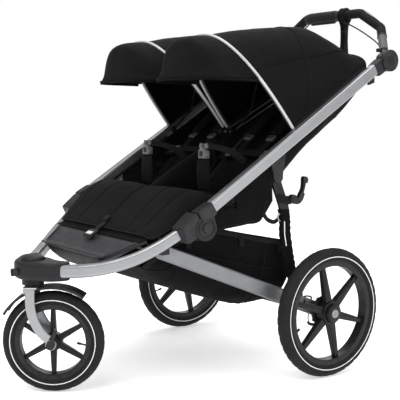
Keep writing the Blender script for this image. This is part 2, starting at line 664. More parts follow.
fy, fz = SWY + TRAIL, R_FRONT
o = tyre("front_tyre_tread", 0, fy, fz, R_FRONT, TT, True, 168)
ridem("front_wheel_body", o)
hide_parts("front_tyre")
o = tyre_rings("front_tyre_sidewall_rings", 0, fy, fz, R_FRONT, TT, True)
ridem("front_wheel_body", o)
o = rim_detail("front_wheel_rim_and_valve", 0, fy, fz, R_FRONT, TT, 93.0, 26, -1, True, 6, 0.0)
ridem("front_wheel_body", o)
for sg, tag, body in ((1, "left", "rear_wheel_l"), (-1, "right", "rear_wheel_r")):
    o = tyre("rear_tyre_tread_" + tag, sg * XW, 0, R_REAR, R_REAR, TT)
    ridem(body, o)
    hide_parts("rear_tyre_" + tag)
    o = tyre_rings("rear_tyre_sidewall_rings_" + tag, sg * XW, 0, R_REAR, R_REAR, TT)
    ridem(body, o)
    o = rim_detail("rear_wheel_rim_and_valve_" + tag, sg * XW, 0, R_REAR, R_REAR, TT, 141.0, 36, -sg, False, 6, 12.0)
    ridem(body, o)
    # hub face: stepped collar round the release button
    a = []
    x = sg * XW
    for x0, x1, r, hole, m_ in ((25.0, 27.6, 24.0, 13.3, "rim"), (27.2, 29.0, 19.0, 13.3, "dark"), (13.0, 16.4, 34.5, 26.8, "rim")):
        p = [(sg * x0, hole), (sg * x0, r - 0.8), (sg * (x0 + 0.5), r), (sg * (x1 - 0.8), r), (sg * x1, r - 0.9), (sg * x1, hole)]
        a.append(revolve("h", p, m_, (x, 0, R_REAR), 64))
    o = join("rear_hub_collar_" + tag, a)
    ridem(body, o)
    # machined rings on the button
    a = [revolve("b", [(sg * 29.5, 8.6), (sg * 29.9, 9.0), (sg * 29.9, 9.9), (sg * 29.5, 10.3)], "steel", (x, 0, R_REAR), 48),
         revolve("b", [(sg * 29.5, 1e-3), (sg * 29.8, 1e-3), (sg * 29.8, 5.6), (sg * 29.5, 6.0)], "hub", (x, 0, R_REAR), 48)]
    o = join("hub_button_rings_" + tag, a)
    ridem("hub_button_" + ("l" if sg > 0 else "r"), o)
    # drum brake with its small lever, behind the wheel
    a = []
    for x0, x1, r, m_ in ((-27.0, -22.0, 46.0, "dark"), (-33.0, -27.0, 38.0, "dark"), (-36.0, -33.0, 22.0, "dsteel")):
        p = [(sg * x0, 15.0), (sg * x0, r - 1.5), (sg * (x0 + 1), r), (sg * (x1 - 0.6), r), (sg * x1, r - 0.6), (sg * x1, 15.0)]
        if abs(sg * x1) > 0:
            a.append(revolve("d", p, m_, (x, 0, R_REAR), 72))
    for k in range(12):
        an = math.radians(30 * k)
        a.append(rbox("n", (sg * (XW - 25.0), 47.0 * math.sin(an), R_REAR + 47.0 * math.cos(an)), (4.0, 7.0, 3.0), "dark", 0.8, Matrix.Rotation(-an, 3, "X"), 2))
    lv = [(sg * (XW - 31), -6, R_REAR - 34), (sg * (XW - 33), -26, R_REAR - 40), (sg * (XW - 34), -44, R_REAR - 36), (sg * (XW - 34), -52, R_REAR - 28)]
    a.append(sweep("l", lv, band(9, 3.4), "dsteel", up=(1, 0, 0)))
    a.append(tube("s", [(sg * (XW - 34), -50, R_REAR - 30), (sg * (XW - 35), -50, R_REAR - 14), (sg * (XW - 36), -46, R_REAR + 2)], 2.2, "steel", 5, 8))
    a.append(tube("c", [(sg * (XW - 36), -46, R_REAR + 2), (sg * (XW - 44), -54, R_REAR + 26), (sg * 326, -50, R_REAR + 44), (sg * 322, -20, R_REAR + 40), (sg * 300, 4, R_REAR + 24)], 2.6, "cable", 6, 8))
    o = join("rear_brake_drum_" + tag, a)
    ridem("rear_frame", o)

# ------------------------------------------------------------------ small hard details
# fold hinge: grooved rings and a recessed screw cap
for sg, tag in ((1, "left"), (-1, "right")):
    hy, hz = -430.0, 477.0
    x_out = max(abs(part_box("hinge_discs")[0].x), abs(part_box("hinge_discs")[1].x)) / S
    a = []
    for r0, r1, h in ((24.0, 26.4, 0.9), (12.0, 13.6, 1.2), (8.0, 10.4, 0.8)):
        a.append(revolve("q", [(sg * (x_out - 1.0), r0), (sg * (x_out + h * 0.8), r0 + 0.3), (sg * (x_out + h), (r0 + r1) / 2), (sg * (x_out + h * 0.8), r1 - 0.3), (sg * (x_out - 1.0), r1)], "dark", (0, hy, hz), 72))
    o = join("hinge_disc_rings_" + tag, a)
    ridem("upper_frame", o)
    # handlebar knuckle: raised ring round the release button and three finger ridges
    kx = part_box("handle_knuckles")[1].x / S
    a = [revolve("q", [(sg * (kx - 0.6), 14.0), (sg * (kx + 0.9), 14.4), (sg * (kx + 1.1), 16.0), (sg * (kx - 0.6), 17.2)], "dark", (0, KY, KZ), 64)]
    a.append(revolve("q", [(sg * (kx - 0.8), 28.0), (sg * (kx + 0.5), 28.5), (sg * (kx + 0.5), 30.0), (sg * (kx - 0.8), 30.6)], "dark", (0, KY, KZ), 72))
    o = join("handle_knuckle_rings_" + tag, a)
    ridem("upper_frame", o)
    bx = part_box("tilt_button_" + tag)
    bx1 = max(abs(bx[0].x), abs(bx[1].x)) / S
    a = [rbox("q", (sg * (bx1 - 0.1), KY + d_, KZ), (0.9, 1.6, 12.0), "gripgrey", 0.4, None, 2) for d_ in (-4, 0, 4)]
    o = join("tilt_button_ridges_" + tag, a)
    ridem("tilt_button_" + ("l" if sg > 0 else "r"), o)

# grip rings of the twist brake and parting line
a = []
for x in np.linspace(-104, 12, 15):
    a.append(revolve("q", [(-1.6, 18.6), (-1.2, 19.7), (1.2, 19.7), (1.6, 18.6)], "gripgrey", (float(x), HY, HZ), 48))
o = join("twist_brake_grip_ribs", a)
ridem("brake_grip", o)


def arm_pt(k, sg=1):
    return np.array([sg * (330 + (HX1 - 330) * k), KY + 4 + (HY - KY - 4) * k, KZ + 5 + (HCZ - KZ - 5) * k])


# brake cables from the grip to the side tubes
a = [tube("q", [(22, HY - 4, 1104), (58, HY - 12, 1094), (110, HY - 16, 1076), (170, HY - 20, 1048), (232, HY - 30, 1016), (282, HY - 62, 994), (304, HY - 80, 976)], 2.3, "cable", 8, 8),
     tube("q", [(-106, HY - 4, 1104), (-118, HY - 8, 1092), (-136, HY - 12, 1078), (-158, HY - 14, 1062), (-190, HY - 20, 1044), (-224, HY - 28, 1022), (-262, HY - 52, 1000)], 2.3, "cable", 8, 8)]
for p in ((20, HY - 3, 1105), (-106, HY - 3, 1105)):
    a.append(rbox("q", p, (10, 9, 9), "dark", 2.0))
for sg in (1, -1):
    q = arm_pt(0.3, sg)
    a.append(rbox("q", tuple(q + np.array([-sg * 10, -12, -2])), (14, 12, 12), "dark", 2.5))
o = join("handle_brake_cables", a)
ridem("handle_body", o)

# bolts at the strut feet, the axle ends and the nose
a = []
for sg in (1, -1):
    for (y_, z_), x_, r_ in (((-62, 246), 318.5, 7.5), ((0, 194), 345.0, 0)):
        if r_:
            a.append(disc("q", (y_, z_), r_, sg * x_ if sg > 0 else -x_ - 4.5, x_ + 4.5 if sg > 0 else -x_, "dsteel", 1.2, seg=24))
o = join("strut_foot_bolts", a)
ridem("rear_frame", o)
# ------------------------------------------------------------------ soft goods
def pillow(name, top, bot, material):
    """two equal grids of points sewn together round their border"""
    top = np.array(top, float)
    bot = np.array(bot, float)
    nr, nc = top.shape[:2]
    v = list(top.reshape(-1, 3)) + list(bot.reshape(-1, 3))
    B = nr * nc
    f = []
    for i in range(nr - 1):
        for j in range(nc - 1):
            a, b, c, d = i * nc + j, i * nc + j + 1, (i + 1) * nc + j + 1, (i + 1) * nc + j
            f.append((a, b, c, d))
            f.append((B + d, B + c, B + b, B + a))
    ring = [j for j in range(nc)] + [i * nc + nc - 1 for i in range(1, nr)] + [(nr - 1) * nc + j for j in range(nc - 2, -1, -1)] + [i * nc for i in range(nr - 2, 0, -1)]
    for a, b in zip(ring, ring[1:] + ring[:1]):
        f.append((a, B + a, B + b, b))
    o = obj_from(name, v, f, material)
    fix_normals(o)
    return o


def puff(o, pins, pressure=4.0, cap=9.0, frames=20, tension=12.0, shrink=0.0, gravity=0.0, bend=0.6):
    """lets a sewn cover fill up: cloth under inner pressure, held at its seams"""
    n = len(o.data.vertices)
    rest = np.zeros(n * 3)
    o.data.vertices.foreach_get("co", rest)
    rest = rest.reshape(-1, 3)
    vg = o.vertex_groups.new(name="seams")
    for i, w in pins.items():
        vg.add([int(i)], float(w), "REPLACE")
    md = o.modifiers.new("cloth", "CLOTH")
    c = md.settings
    c.quality = 5
    c.mass = 0.25
    c.tension_stiffness = c.compression_stiffness = tension
    c.shear_stiffness = 4.0
    c.bending_stiffness = bend
    c.air_damping = 2.0
    c.vertex_group_mass = "seams"
    c.pin_stiffness = 2.0
    if pressure:
        c.use_pressure = True
        c.uniform_pressure_force = pressure
    c.shrink_min = shrink
    c.effector_weights.gravity = gravity
    md.collision_settings.use_collision = False
    md.collision_settings.use_self_collision = False
    md.point_cache.frame_start = 1
    md.point_cache.frame_end = frames + 2
    for k in range(1, frames + 1):
        scene.frame_set(k)
    dg = bpy.context.evaluated_depsgraph_get()
    ev = o.evaluated_get(dg)
    now = np.zeros(n * 3)
    ev.data.vertices.foreach_get("co", now)
    now = now.reshape(-1, 3)
    o.modifiers.clear()
    scene.frame_set(1)
    d = now - rest
    bad = ~np.isfinite(d).all(axis=1)
    d[bad] = 0
    L = np.linalg.norm(d, axis=1)
    k = np.where(L > cap * S, cap * S / np.maximum(L, 1e-9), 1.0)
    new = rest + d * k[:, None]
    # two light smoothing passes take the jitter out
    o.data.vertices.foreach_set("co", new.reshape(-1))
    o.data.update()
    return o


def subdivide(o, lv=1):
    md = o.modifiers.new("sub", "SUBSURF")
    md.levels = md.render_levels = lv
    return apply_all(o)


def relief(o, fn):
    """moves each vertex along its normal by fn(x, y, z) mm"""
    me = o.data
    nrm = [v.normal.copy() for v in me.vertices]
    for v, n in zip(me.vertices, nrm):
        d = fn(v.co.x / S, v.co.y / S, v.co.z / S)
        v.co += n * (d * S)
    me.update()
    return o


def lin(a, b, n):
    return [a + (b - a) * i / (n - 1) for i in range(n)]


def poly(pts, t):
    """point at share t along control points given as (share, values...)"""
    for a, b in zip(pts, pts[1:]):
        if t <= b[0] or b is pts[-1]:
            k = (t - a[0]) / (b[0] - a[0])
            return [p + (q - p) * k for p, q in zip(a[1:], b[1:])]


def pts_mm(o):
    return [v.co / S for v in o.data.vertices]


# ---- calf pad: one wide pad for both children, quilted by two pairs of converging seams
CTOP = cr([(0, -557, 454), (0, -551, 461), (0, -528, 481), (0, -500, 505), (0, -470, 532), (0, -440, 554), (0, -408, 567), (0, -382, 568), (0, -366, 556)], 4)
CBOT = cr([(0, -555, 450), (0, -547, 451), (0, -520, 466), (0, -492, 484), (0, -462, 503), (0, -436, 520), (0, -405, 534), (0, -382, 538), (0, -366, 546)], 4)
nr = len(CTOP)
SEAM_J = []
def calf_x(v):
    w = 249 + 50 * min(1.0, max(0.0, v / 0.42)) ** 0.7
    w -= 7 * max(0, v - 0.82) / 0.18
    i1 = 150 + (131 - 150) * v
    o1 = 207 + (243 - 207) * v
    seg = [(-w, -o1, 7), (-o1, -i1, 12), (-i1, 0, 16), (0, i1, 16), (i1, o1, 12), (o1, w, 7)]
    xs = []
    js = []
    for a, b, k in seg:
        for q in range(k):
            xs.append(a + (b - a) * q / k)
        js.append(len(xs))
    xs.append(w)
    return xs, js[:-1], w
top, bot = [], []
for i in range(nr):
    v = i / (nr - 1)
    xs, js, w = calf_x(v)
    ra, rb = [], []
    for x in xs:
        e = min(1.0, (w - abs(x)) / 26.0) ** 0.5
        crown = 7.0 * math.sin(math.pi * min(1, abs(x) / 290.0)) ** 0.8 * math.sin(math.pi * min(1, v * 1.1)) ** 0.6
        ty, tz = CTOP[i][1], CTOP[i][2]
        by, bz = CBOT[i][1], CBOT[i][2]
        ra.append((x, by + (ty - by) * e, bz + (tz - bz) * e + crown * e - 4.0 * (1 - min(1, abs(x) / 60.0)) * v))
        rb.append((x, by, bz))
    top.append(ra)
    bot.append(rb)
calf = pillow("calf_pad_cushion", top, bot, "knit")
nc = len(top[0])
pins = {}
for i in range(nr):
    for j in range(nc):
        t_, b_ = i * nc + j, nr * nc + i * nc + j
        edge = i in (0, nr - 1) or j in (0, nc - 1)
        pins[b_] = 1.0
        if edge:
            pins[t_] = 1.0
        elif j in js and 2 < i < nr - 2:
            pins[t_] = 1.0
# the seams are drawn down into the filling
for i in range(nr):
    for j in js:
        v_ = calf.data.vertices[i * nc + j]
        e = math.sin(math.pi * min(1, max(0, (i - 1) / (nr - 2)))) ** 0.5
        v_.co.y += 2.6 * S * e
        v_.co.z -= 3.4 * S * e
puff(calf, pins, 4.0, 9.0)
seam_paths = []
cp = pts_mm(calf)
for j in js:
    seam_paths.append([cp[i * nc + j] for i in range(2, nr - 2)])
subdivide(calf, 1)
relief(calf, lambda x, y, z: 0.9 * snoise(x, y, z, 0.018) + 0.35 * snoise(x, y, z, 0.05) + 0.5 * snoise(x * 0.4, y, z, 0.09))
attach(calf, "front_frame")
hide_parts("calf_pad")
a = []
for k, p in enumerate(seam_paths):
    for dx in (-3.2, 3.2):
        q = [np.array(c) + np.array([dx, -0.6, 1.4]) for c in p]
        a.append(stitches("st", q, (0, -0.62, 0.78), 5.0, 3.4, 0.45))
    a.append(tube("sc", [np.array(c) + np.array([0, -0.2, 0.3]) for c in p][::3], 0.8, "binding", 3, 6))
# bound edge all the way round the pad
edge = []
for i in range(nr):
    edge.append(np.array(top[i][0]))
edge += [np.array(q) for q in top[-1][1:]]
edge += [np.array(top[i][-1]) for i in range(nr - 2, -1, -1)]
edge += [np.array(q) for q in top[0][-2:0:-1]]
a.append(tube("pp", edge[::2], 2.6, "binding", 3, 8, closed=True))
o = join("calf_pad_seams_and_binding", a)
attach(o, "front_frame")

# flap under the pad that reaches the footrest
rows = []
for q in cr([(0, -549, 455), (0, -553, 449), (0, -560, 443.6), (0, -570, 440.6), (0, -577, 437.6)], 3):
    rows.append([(x, q[1], q[2] + 0.5 * snoise(x, q[1], q[2], 0.03)) for x in lin(-249, 249, 61)])
o = grid("calf_pad_flap", rows, "fabric", thick=1.4, off=0.0, sub=0)
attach(o, "front_frame")

# ---- webbing tab and buckle that hold the pad to the footrest
fb0, fb1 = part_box("buckles")
n_f = Vector((0, -0.466, 0.885))
a = []
tab = [(4, -536, 480), (4, -548, 470), (4, -556, 462), (4, -566, 456), (4, -580, 448.5)]
a.append(sweep("t", tab, band(22, 2.4), "webbing", up=(0, -0.55, 0.83), n=5))
a.append(sweep("t", [(4, -534, 484), (4, -541, 481), (4, -549, 473)], band(24, 4.5), "webbing", up=(0, -0.55, 0.83), n=4))
R_f = Matrix.Rotation(math.radians(27.8), 3, "X")
a.append(rbox("b", (4, -597, 438.6), (46, 30, 7.0), "dark", 2.4, R_f))
a.append(rbox("b", (4, -600, 441.2), (30, 13, 1.6), "label", 0.6, R_f))
a.append(rbox("b", (4, -584.5, 446.0), (32, 7, 6), "dark", 1.8, R_f))
o = join("footrest_strap_and_patch", a)
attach(o, "front_frame")
# footrest: rolled front lip, a shallow step along the top edge and two pad slots
a = []
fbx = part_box("footrest_panel")
hw = fbx[1].x / S
a.append(sweep("l", [(-(hw - 66), -661, 399.0), (-100, -663, 399.6), (100, -663, 399.6), (hw - 66, -661, 399.0)], band(7.0, 5.0), "greyp", up=(0, -0.45, 0.9), n=6))
for sg in (1, -1):
    a.append(sweep("l", [(sg * 70, -570, 439.6), (sg * 120, -570, 439.6), (sg * 165, -570, 439.6)], band(6.0, 1.6), "dark", up=(0, -0.47, 0.88), n=3))
    a.append(sweep("l", [(sg * (hw - 70), -650, 401.5), (sg * (hw - 44), -612, 419.5), (sg * (hw - 22), -572, 438.8)], band(5.0, 3.4), "greyp", up=(0, -0.47, 0.88), n=5))
o = join("footrest_lip_and_edges", a)
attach(o, "front_frame")

# ---- seat cushions
for sg, tag in ((1, "left"), (-1, "right")):
    STp = cr([(0, -372, 549), (0, -350, 552), (0, -318, 551), (0, -280, 547), (0, -240, 541), (0, -208, 536), (0, -197, 530)], 5)
    SBp = cr([(0, -366, 540), (0, -350, 522), (0, -318, 508), (0, -280, 505), (0, -240, 505), (0, -208, 508), (0, -197, 518)], 5)
    n_ = len(STp)
    xs = lin(14, 288, 43)
    top, bot = [], []
    for i in range(n_):
        ra, rb = [], []
        for x in xs:
            e = min(1.0, min(x - 14, 288 - x) / 24.0 + 0.02) ** 0.5
            m_y, m_z = (STp[i][1] + SBp[i][1]) / 2, (STp[i][2] + SBp[i][2]) / 2
            ra.append((sg * x, m_y + (STp[i][1] - m_y) * e, m_z + (STp[i][2] - m_z) * e))
            rb.append((sg * x, m_y + (SBp[i][1] - m_y) * e, m_z + (SBp[i][2] - m_z) * e))
        top.append(ra)
        bot.append(rb)
    o = pillow("seat_cushion_" + tag, top, bot, "knit")
    nc_ = len(xs)
    pins = {}
    sj = (11, 31)
    for i in range(n_):
        for j in range(nc_):
            if i in (0, n_ - 1) or j in (0, nc_ - 1) or j in sj or (i == 16 and 11 <= j <= 31):
                pins[i * nc_ + j] = 1.0
            pins[n_ * nc_ + i * nc_ + j] = 1.0
    for i in range(2, n_ - 2):
        for j in sj:
            o.data.vertices[i * nc_ + j].co.z -= 3.0 * S
    puff(o, pins, 4.0, 8.0)
    subdivide(o, 1)
    relief(o, lambda x, y, z: 0.8 * snoise(x, y, z, 0.02) + 0.3 * snoise(x, y, z, 0.06))
    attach(o, "front_frame")
    if sg > 0:
        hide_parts("seat_pads")
    a = [stitches("s", [(sg * xs[j] + d_, STp[i][1], STp[i][2] - 1.2) for i in range(3, n_ - 3)], (0, 0, 1), 5, 3.4) for j in sj for d_ in (-3, 3)]
    a.append(tube("p", [(sg * xs[0], STp[i][1], (STp[i][2] + SBp[i][2]) / 2) for i in range(0, n_, 3)], 2.2, "binding", 3, 8))
    a.append(tube("p", [(sg * xs[-1], STp[i][1], (STp[i][2] + SBp[i][2]) / 2) for i in range(0, n_, 3)], 2.2, "binding", 3, 8))
    q = join("seat_cushion_stitching_" + tag, a)
    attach(q, "front_frame")

# ---- seat backs: channelled front cushion, plain woven rear skin
BF = [(-183, 566), (-176, 592), (-120, 644), (-30, 722), (60, 792), (150, 857), (192, 881), (205, 878)]
BR = [(-186, 556), (-166, 543), (-100, 599), (-20, 669), (60, 724), (140, 780), (203, 842), (212, 868)]
BFp = cr([(0, *p) for p in BF], 5)
BRp = cr([(0, *p) for p in BR], 5)
nb = len(BFp)
for sg, tag in ((1, "left"), (-1, "right")):
    xs = lin(14, 290, 41)
    nc_ = len(xs)
    top, bot = [], []
    for i in range(nb):
        v = i / (nb - 1)
        ra, rb = [], []
        inset = 10 * max(0, v - 0.86) / 0.14
        for j, x in enumerate(xs):
            k = j / (nc_ - 1)
            xx = 14 + inset + (276 - 2 * inset) * k
            e = min(1.0, min(xx - 14 - inset, 290 - inset - xx) / 30.0 + 0.02) ** 0.5
            wing = 9.0 * (abs(k - 0.5) * 2) ** 3 * math.sin(math.pi * v)
            m_y, m_z = (BFp[i][1] + BRp[i][1]) / 2, (BFp[i][2] + BRp[i][2]) / 2
            fy_, fz_ = BFp[i][1] - 0.62 * wing, BFp[i][2] + 0.78 * wing
            ra.append((sg * xx, m_y + (fy_ - m_y) * e, m_z + (fz_ - m_z) * e))
            rb.append((sg * xx, m_y + (BRp[i][1] - m_y) * e, m_z + (BRp[i][2] - m_z) * e))
        top.append(ra)
        bot.append(rb)
    o = pillow("seat_back_cushion_" + tag, top, bot, "knit")
    pins = {}
    sj = (10, 30)
    rows_h = (9, 15, 21, 27)
    B_ = nb * nc_
    for i in range(nb):
        for j in range(nc_):
            if i in (0, nb - 1) or j in (0, nc_ - 1):
                pins[i * nc_ + j] = pins[B_ + i * nc_ + j] = 1.0
            if j in sj and i > 2:
                pins[i * nc_ + j] = 1.0
            if i in rows_h and sj[0] <= j <= sj[1]:
                pins[i * nc_ + j] = 1.0
            if j in (13, 27) and i > 3:
                pins[B_ + i * nc_ + j] = 0.9
            if i in (12, 24):
                pins[B_ + i * nc_ + j] = 0.9
    for i in range(3, nb - 2):
        for j in range(nc_):
            if j in sj or (i in rows_h and sj[0] <= j <= sj[1]):
                v_ = o.data.vertices[i * nc_ + j]
                v_.co.y += 2.6 * S
                v_.co.z -= 3.2 * S
    puff(o, pins, 4.0, 9.0)
    # rear skin gets the woven cloth
    o.data.materials.append(M["fabric"])
    for p in o.data.polygons:
        if min(p.vertices) >= B_:
            p.material_index = 1
    bp_ = pts_mm(o)
    st_paths = [[bp_[i * nc_ + j] for i in range(3, nb - 1)] for j in sj] + [[bp_[i * nc_ + j] for j in range(sj[0], sj[1] + 1)] for i in rows_h]
    rs_paths = [[bp_[B_ + i * nc_ + j] for i in range(4, nb - 1)] for j in (13, 27)] + [[bp_[B_ + i * nc_ + j] for j in range(1, nc_ - 1)] for i in (12, 24)]
    subdivide(o, 1)
    relief(o, lambda x, y, z: 0.8 * snoise(x, y, z, 0.018) + 0.4 * snoise(x, y * 1.5, z, 0.05))
    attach(o, "seat_" + tag)
    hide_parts("seat_back_" + tag)
    a = []
    for p in st_paths:
        q = [np.array(c) + np.array([0, -0.9, 1.2]) for c in p]
        a.append(stitches("s", q, (0, -0.62, 0.78), 5, 3.4))
    for p in rs_paths:
        a.append(tube("r", [np.array(c) + np.array([0, 0.3, -0.4]) for c in p][::3], 1.5, "binding", 3, 6))
    rim = [np.array(top[i][0]) for i in range(nb)] + [np.array(c) for c in top[-1][1:]] + [np.array(top[i][-1]) for i in range(nb - 2, -1, -1)] + [np.array(c) for c in top[0][-2:0:-1]]
    a.append(tube("e", rim[::3], 3.0, "binding", 3, 8, closed=True))
    q = join("seat_back_seams_" + tag, a)
    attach(q, "seat_" + tag)

# ---- divider between the two seats: doubled cloth with a piped top edge
UP_ = cr([(0, -392, 561), (0, -350, 588), (0, -300, 617), (0, -249, 645), (0, -200, 672), (0, -160, 690), (0, -136, 700)], 5)
LO_ = cr([(0, -370, 548), (0, -345, 548), (0, -300, 548), (0, -249, 545), (0, -205, 548), (0, -180, 585), (0, -148, 625)], 5)
rows = []
for i in range(len(UP_)):
    ring = []
    for t_ in range(10):
        k = t_ / 9.0
        h = 1.6 + 9.6 * math.sin(math.pi * min(1.0, k * 0.86 + 0.07)) ** 0.7 + 0.7 * math.sin(i * 0.9 + k * 5)
        ring.append((h, LO_[i][1] + (UP_[i][1] - LO_[i][1]) * k, LO_[i][2] + (UP_[i][2] - LO_[i][2]) * k))
    rows.append(ring + [(-q[0], q[1], q[2]) for q in ring[::-1]])
o = grid("seat_divider_cushion", rows, "knit", closed=True, thick=0.0, sub=1)
relief(o, lambda x, y, z: 0.6 * snoise(x, y, z, 0.03))
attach(o, "front_frame")
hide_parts("seat_divider")
a = [tube("p", [(0, UP_[i][1], UP_[i][2] + 0.6) for i in range(0, len(UP_), 2)], 3.4, "binding", 3, 8)]
a.append(stitches("s", [(6.4, p[1] + 1.5, p[2] - 9) for p in UP_], (1, 0, 0.3), 5, 3.4))
a.append(stitches("s", [(-6.4, p[1] + 1.5, p[2] - 9) for p in UP_], (-1, 0, 0.3), 5, 3.4))
o = join("seat_divider_piping", a)
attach(o, "front_frame")
# ---- canopies
def arch(xc, w, base, top, n=13, p=2.5):
    pts = []
    for i in range(n):
        a = math.pi * i / (n - 1)
        cx = math.copysign(abs(math.cos(a)) ** (2.0 / p), math.cos(a))
        sx = abs(math.sin(a)) ** (2.0 / p)
        pts.append((xc + w * cx, base[0] + (top[0] - base[0]) * sx, base[1] + (top[1] - base[1]) * sx))
    return pts


def arch_even(xc, w, base, top, n, p=2.5):
    """the same arch with its points spread evenly along its length"""
    raw = [np.array(q) for q in arch(xc, w, base, top, 241, p)]
    d = [0.0]
    for a_, b_ in zip(raw, raw[1:]):
        d.append(d[-1] + float(np.linalg.norm(b_ - a_)))
    out = []
    for i in range(n):
        s_ = d[-1] * i / (n - 1)
        k = int(np.searchsorted(d, s_))
        k = min(max(k, 1), len(raw) - 1)
        t_ = (s_ - d[k - 1]) / max(d[k] - d[k - 1], 1e-9)
        out.append(raw[k - 1] + (raw[k] - raw[k - 1]) * t_)
    return out


def lerp2(a, b, k):
    return (a[0] + (b[0] - a[0]) * k, a[1] + (b[1] - a[1]) * k)


BOWF = ((-101, 743), (-315, 1009))
BOWR = ((-20, 793), (44, 1049))
EDGE = ((192, 925), (198, 972))
NC = 61
CROW = []
for base, top_ in ((EDGE[0], EDGE[1]), (lerp2(EDGE[0], BOWR[0], 0.5), (130, 1019)), (BOWR[0], BOWR[1]), (lerp2(BOWR[0], BOWF[0], 0.45), (-70, 1049)), (lerp2(BOWR[0], BOWF[0], 0.8), (-200, 1034)), BOWF):
    CROW.append(arch_even(XC, CW, base, top_, NC))
SP = 8
CG = []
for j in range(NC):
    CG.append(cr([CROW[i][j] for i in range(len(CROW))], SP))
CG = [[CG[j][i] for j in range(NC)] for i in range(len(CG[0]))]
NR = len(CG)


def canopy_shape(i, j):
    """fabric pulled taut between the bows: it draws in a little between them and puckers near the hubs"""
    p = CG[i][j]
    a_ = j / (NC - 1.0)
    roof = math.sin(math.pi * a_)
    c = np.array([XC, -20.0, 860.0])
    r_ = np.array([(p[0] - c[0]) * 1.0, 0.0, (p[2] - c[2])])
    r_ = r_ / (np.linalg.norm(r_) + 1e-9)
    u = i / (NR - 1.0)
    if u < 0.4:
        sag = math.sin(math.pi * u / 0.4) * 5.0
    else:
        sag = math.sin(math.pi * (u - 0.4) / 0.6) * 7.0
    pk = 1.3 * math.sin(u * 34.0 + 3.0 * math.sin(a_ * 5)) * (1 - roof) ** 1.6
    w_ = 1.6 * snoise(p[0] * 0.5, p[1], p[2] * 0.5, 0.012) + 0.7 * snoise(p[0], p[1], p[2], 0.035)
    e = min(1.0, 6 * u) * min(1.0, 8 * (1 - u))
    return p - r_ * (sag * roof ** 0.6 * 0.8 + pk * e + w_ * e)


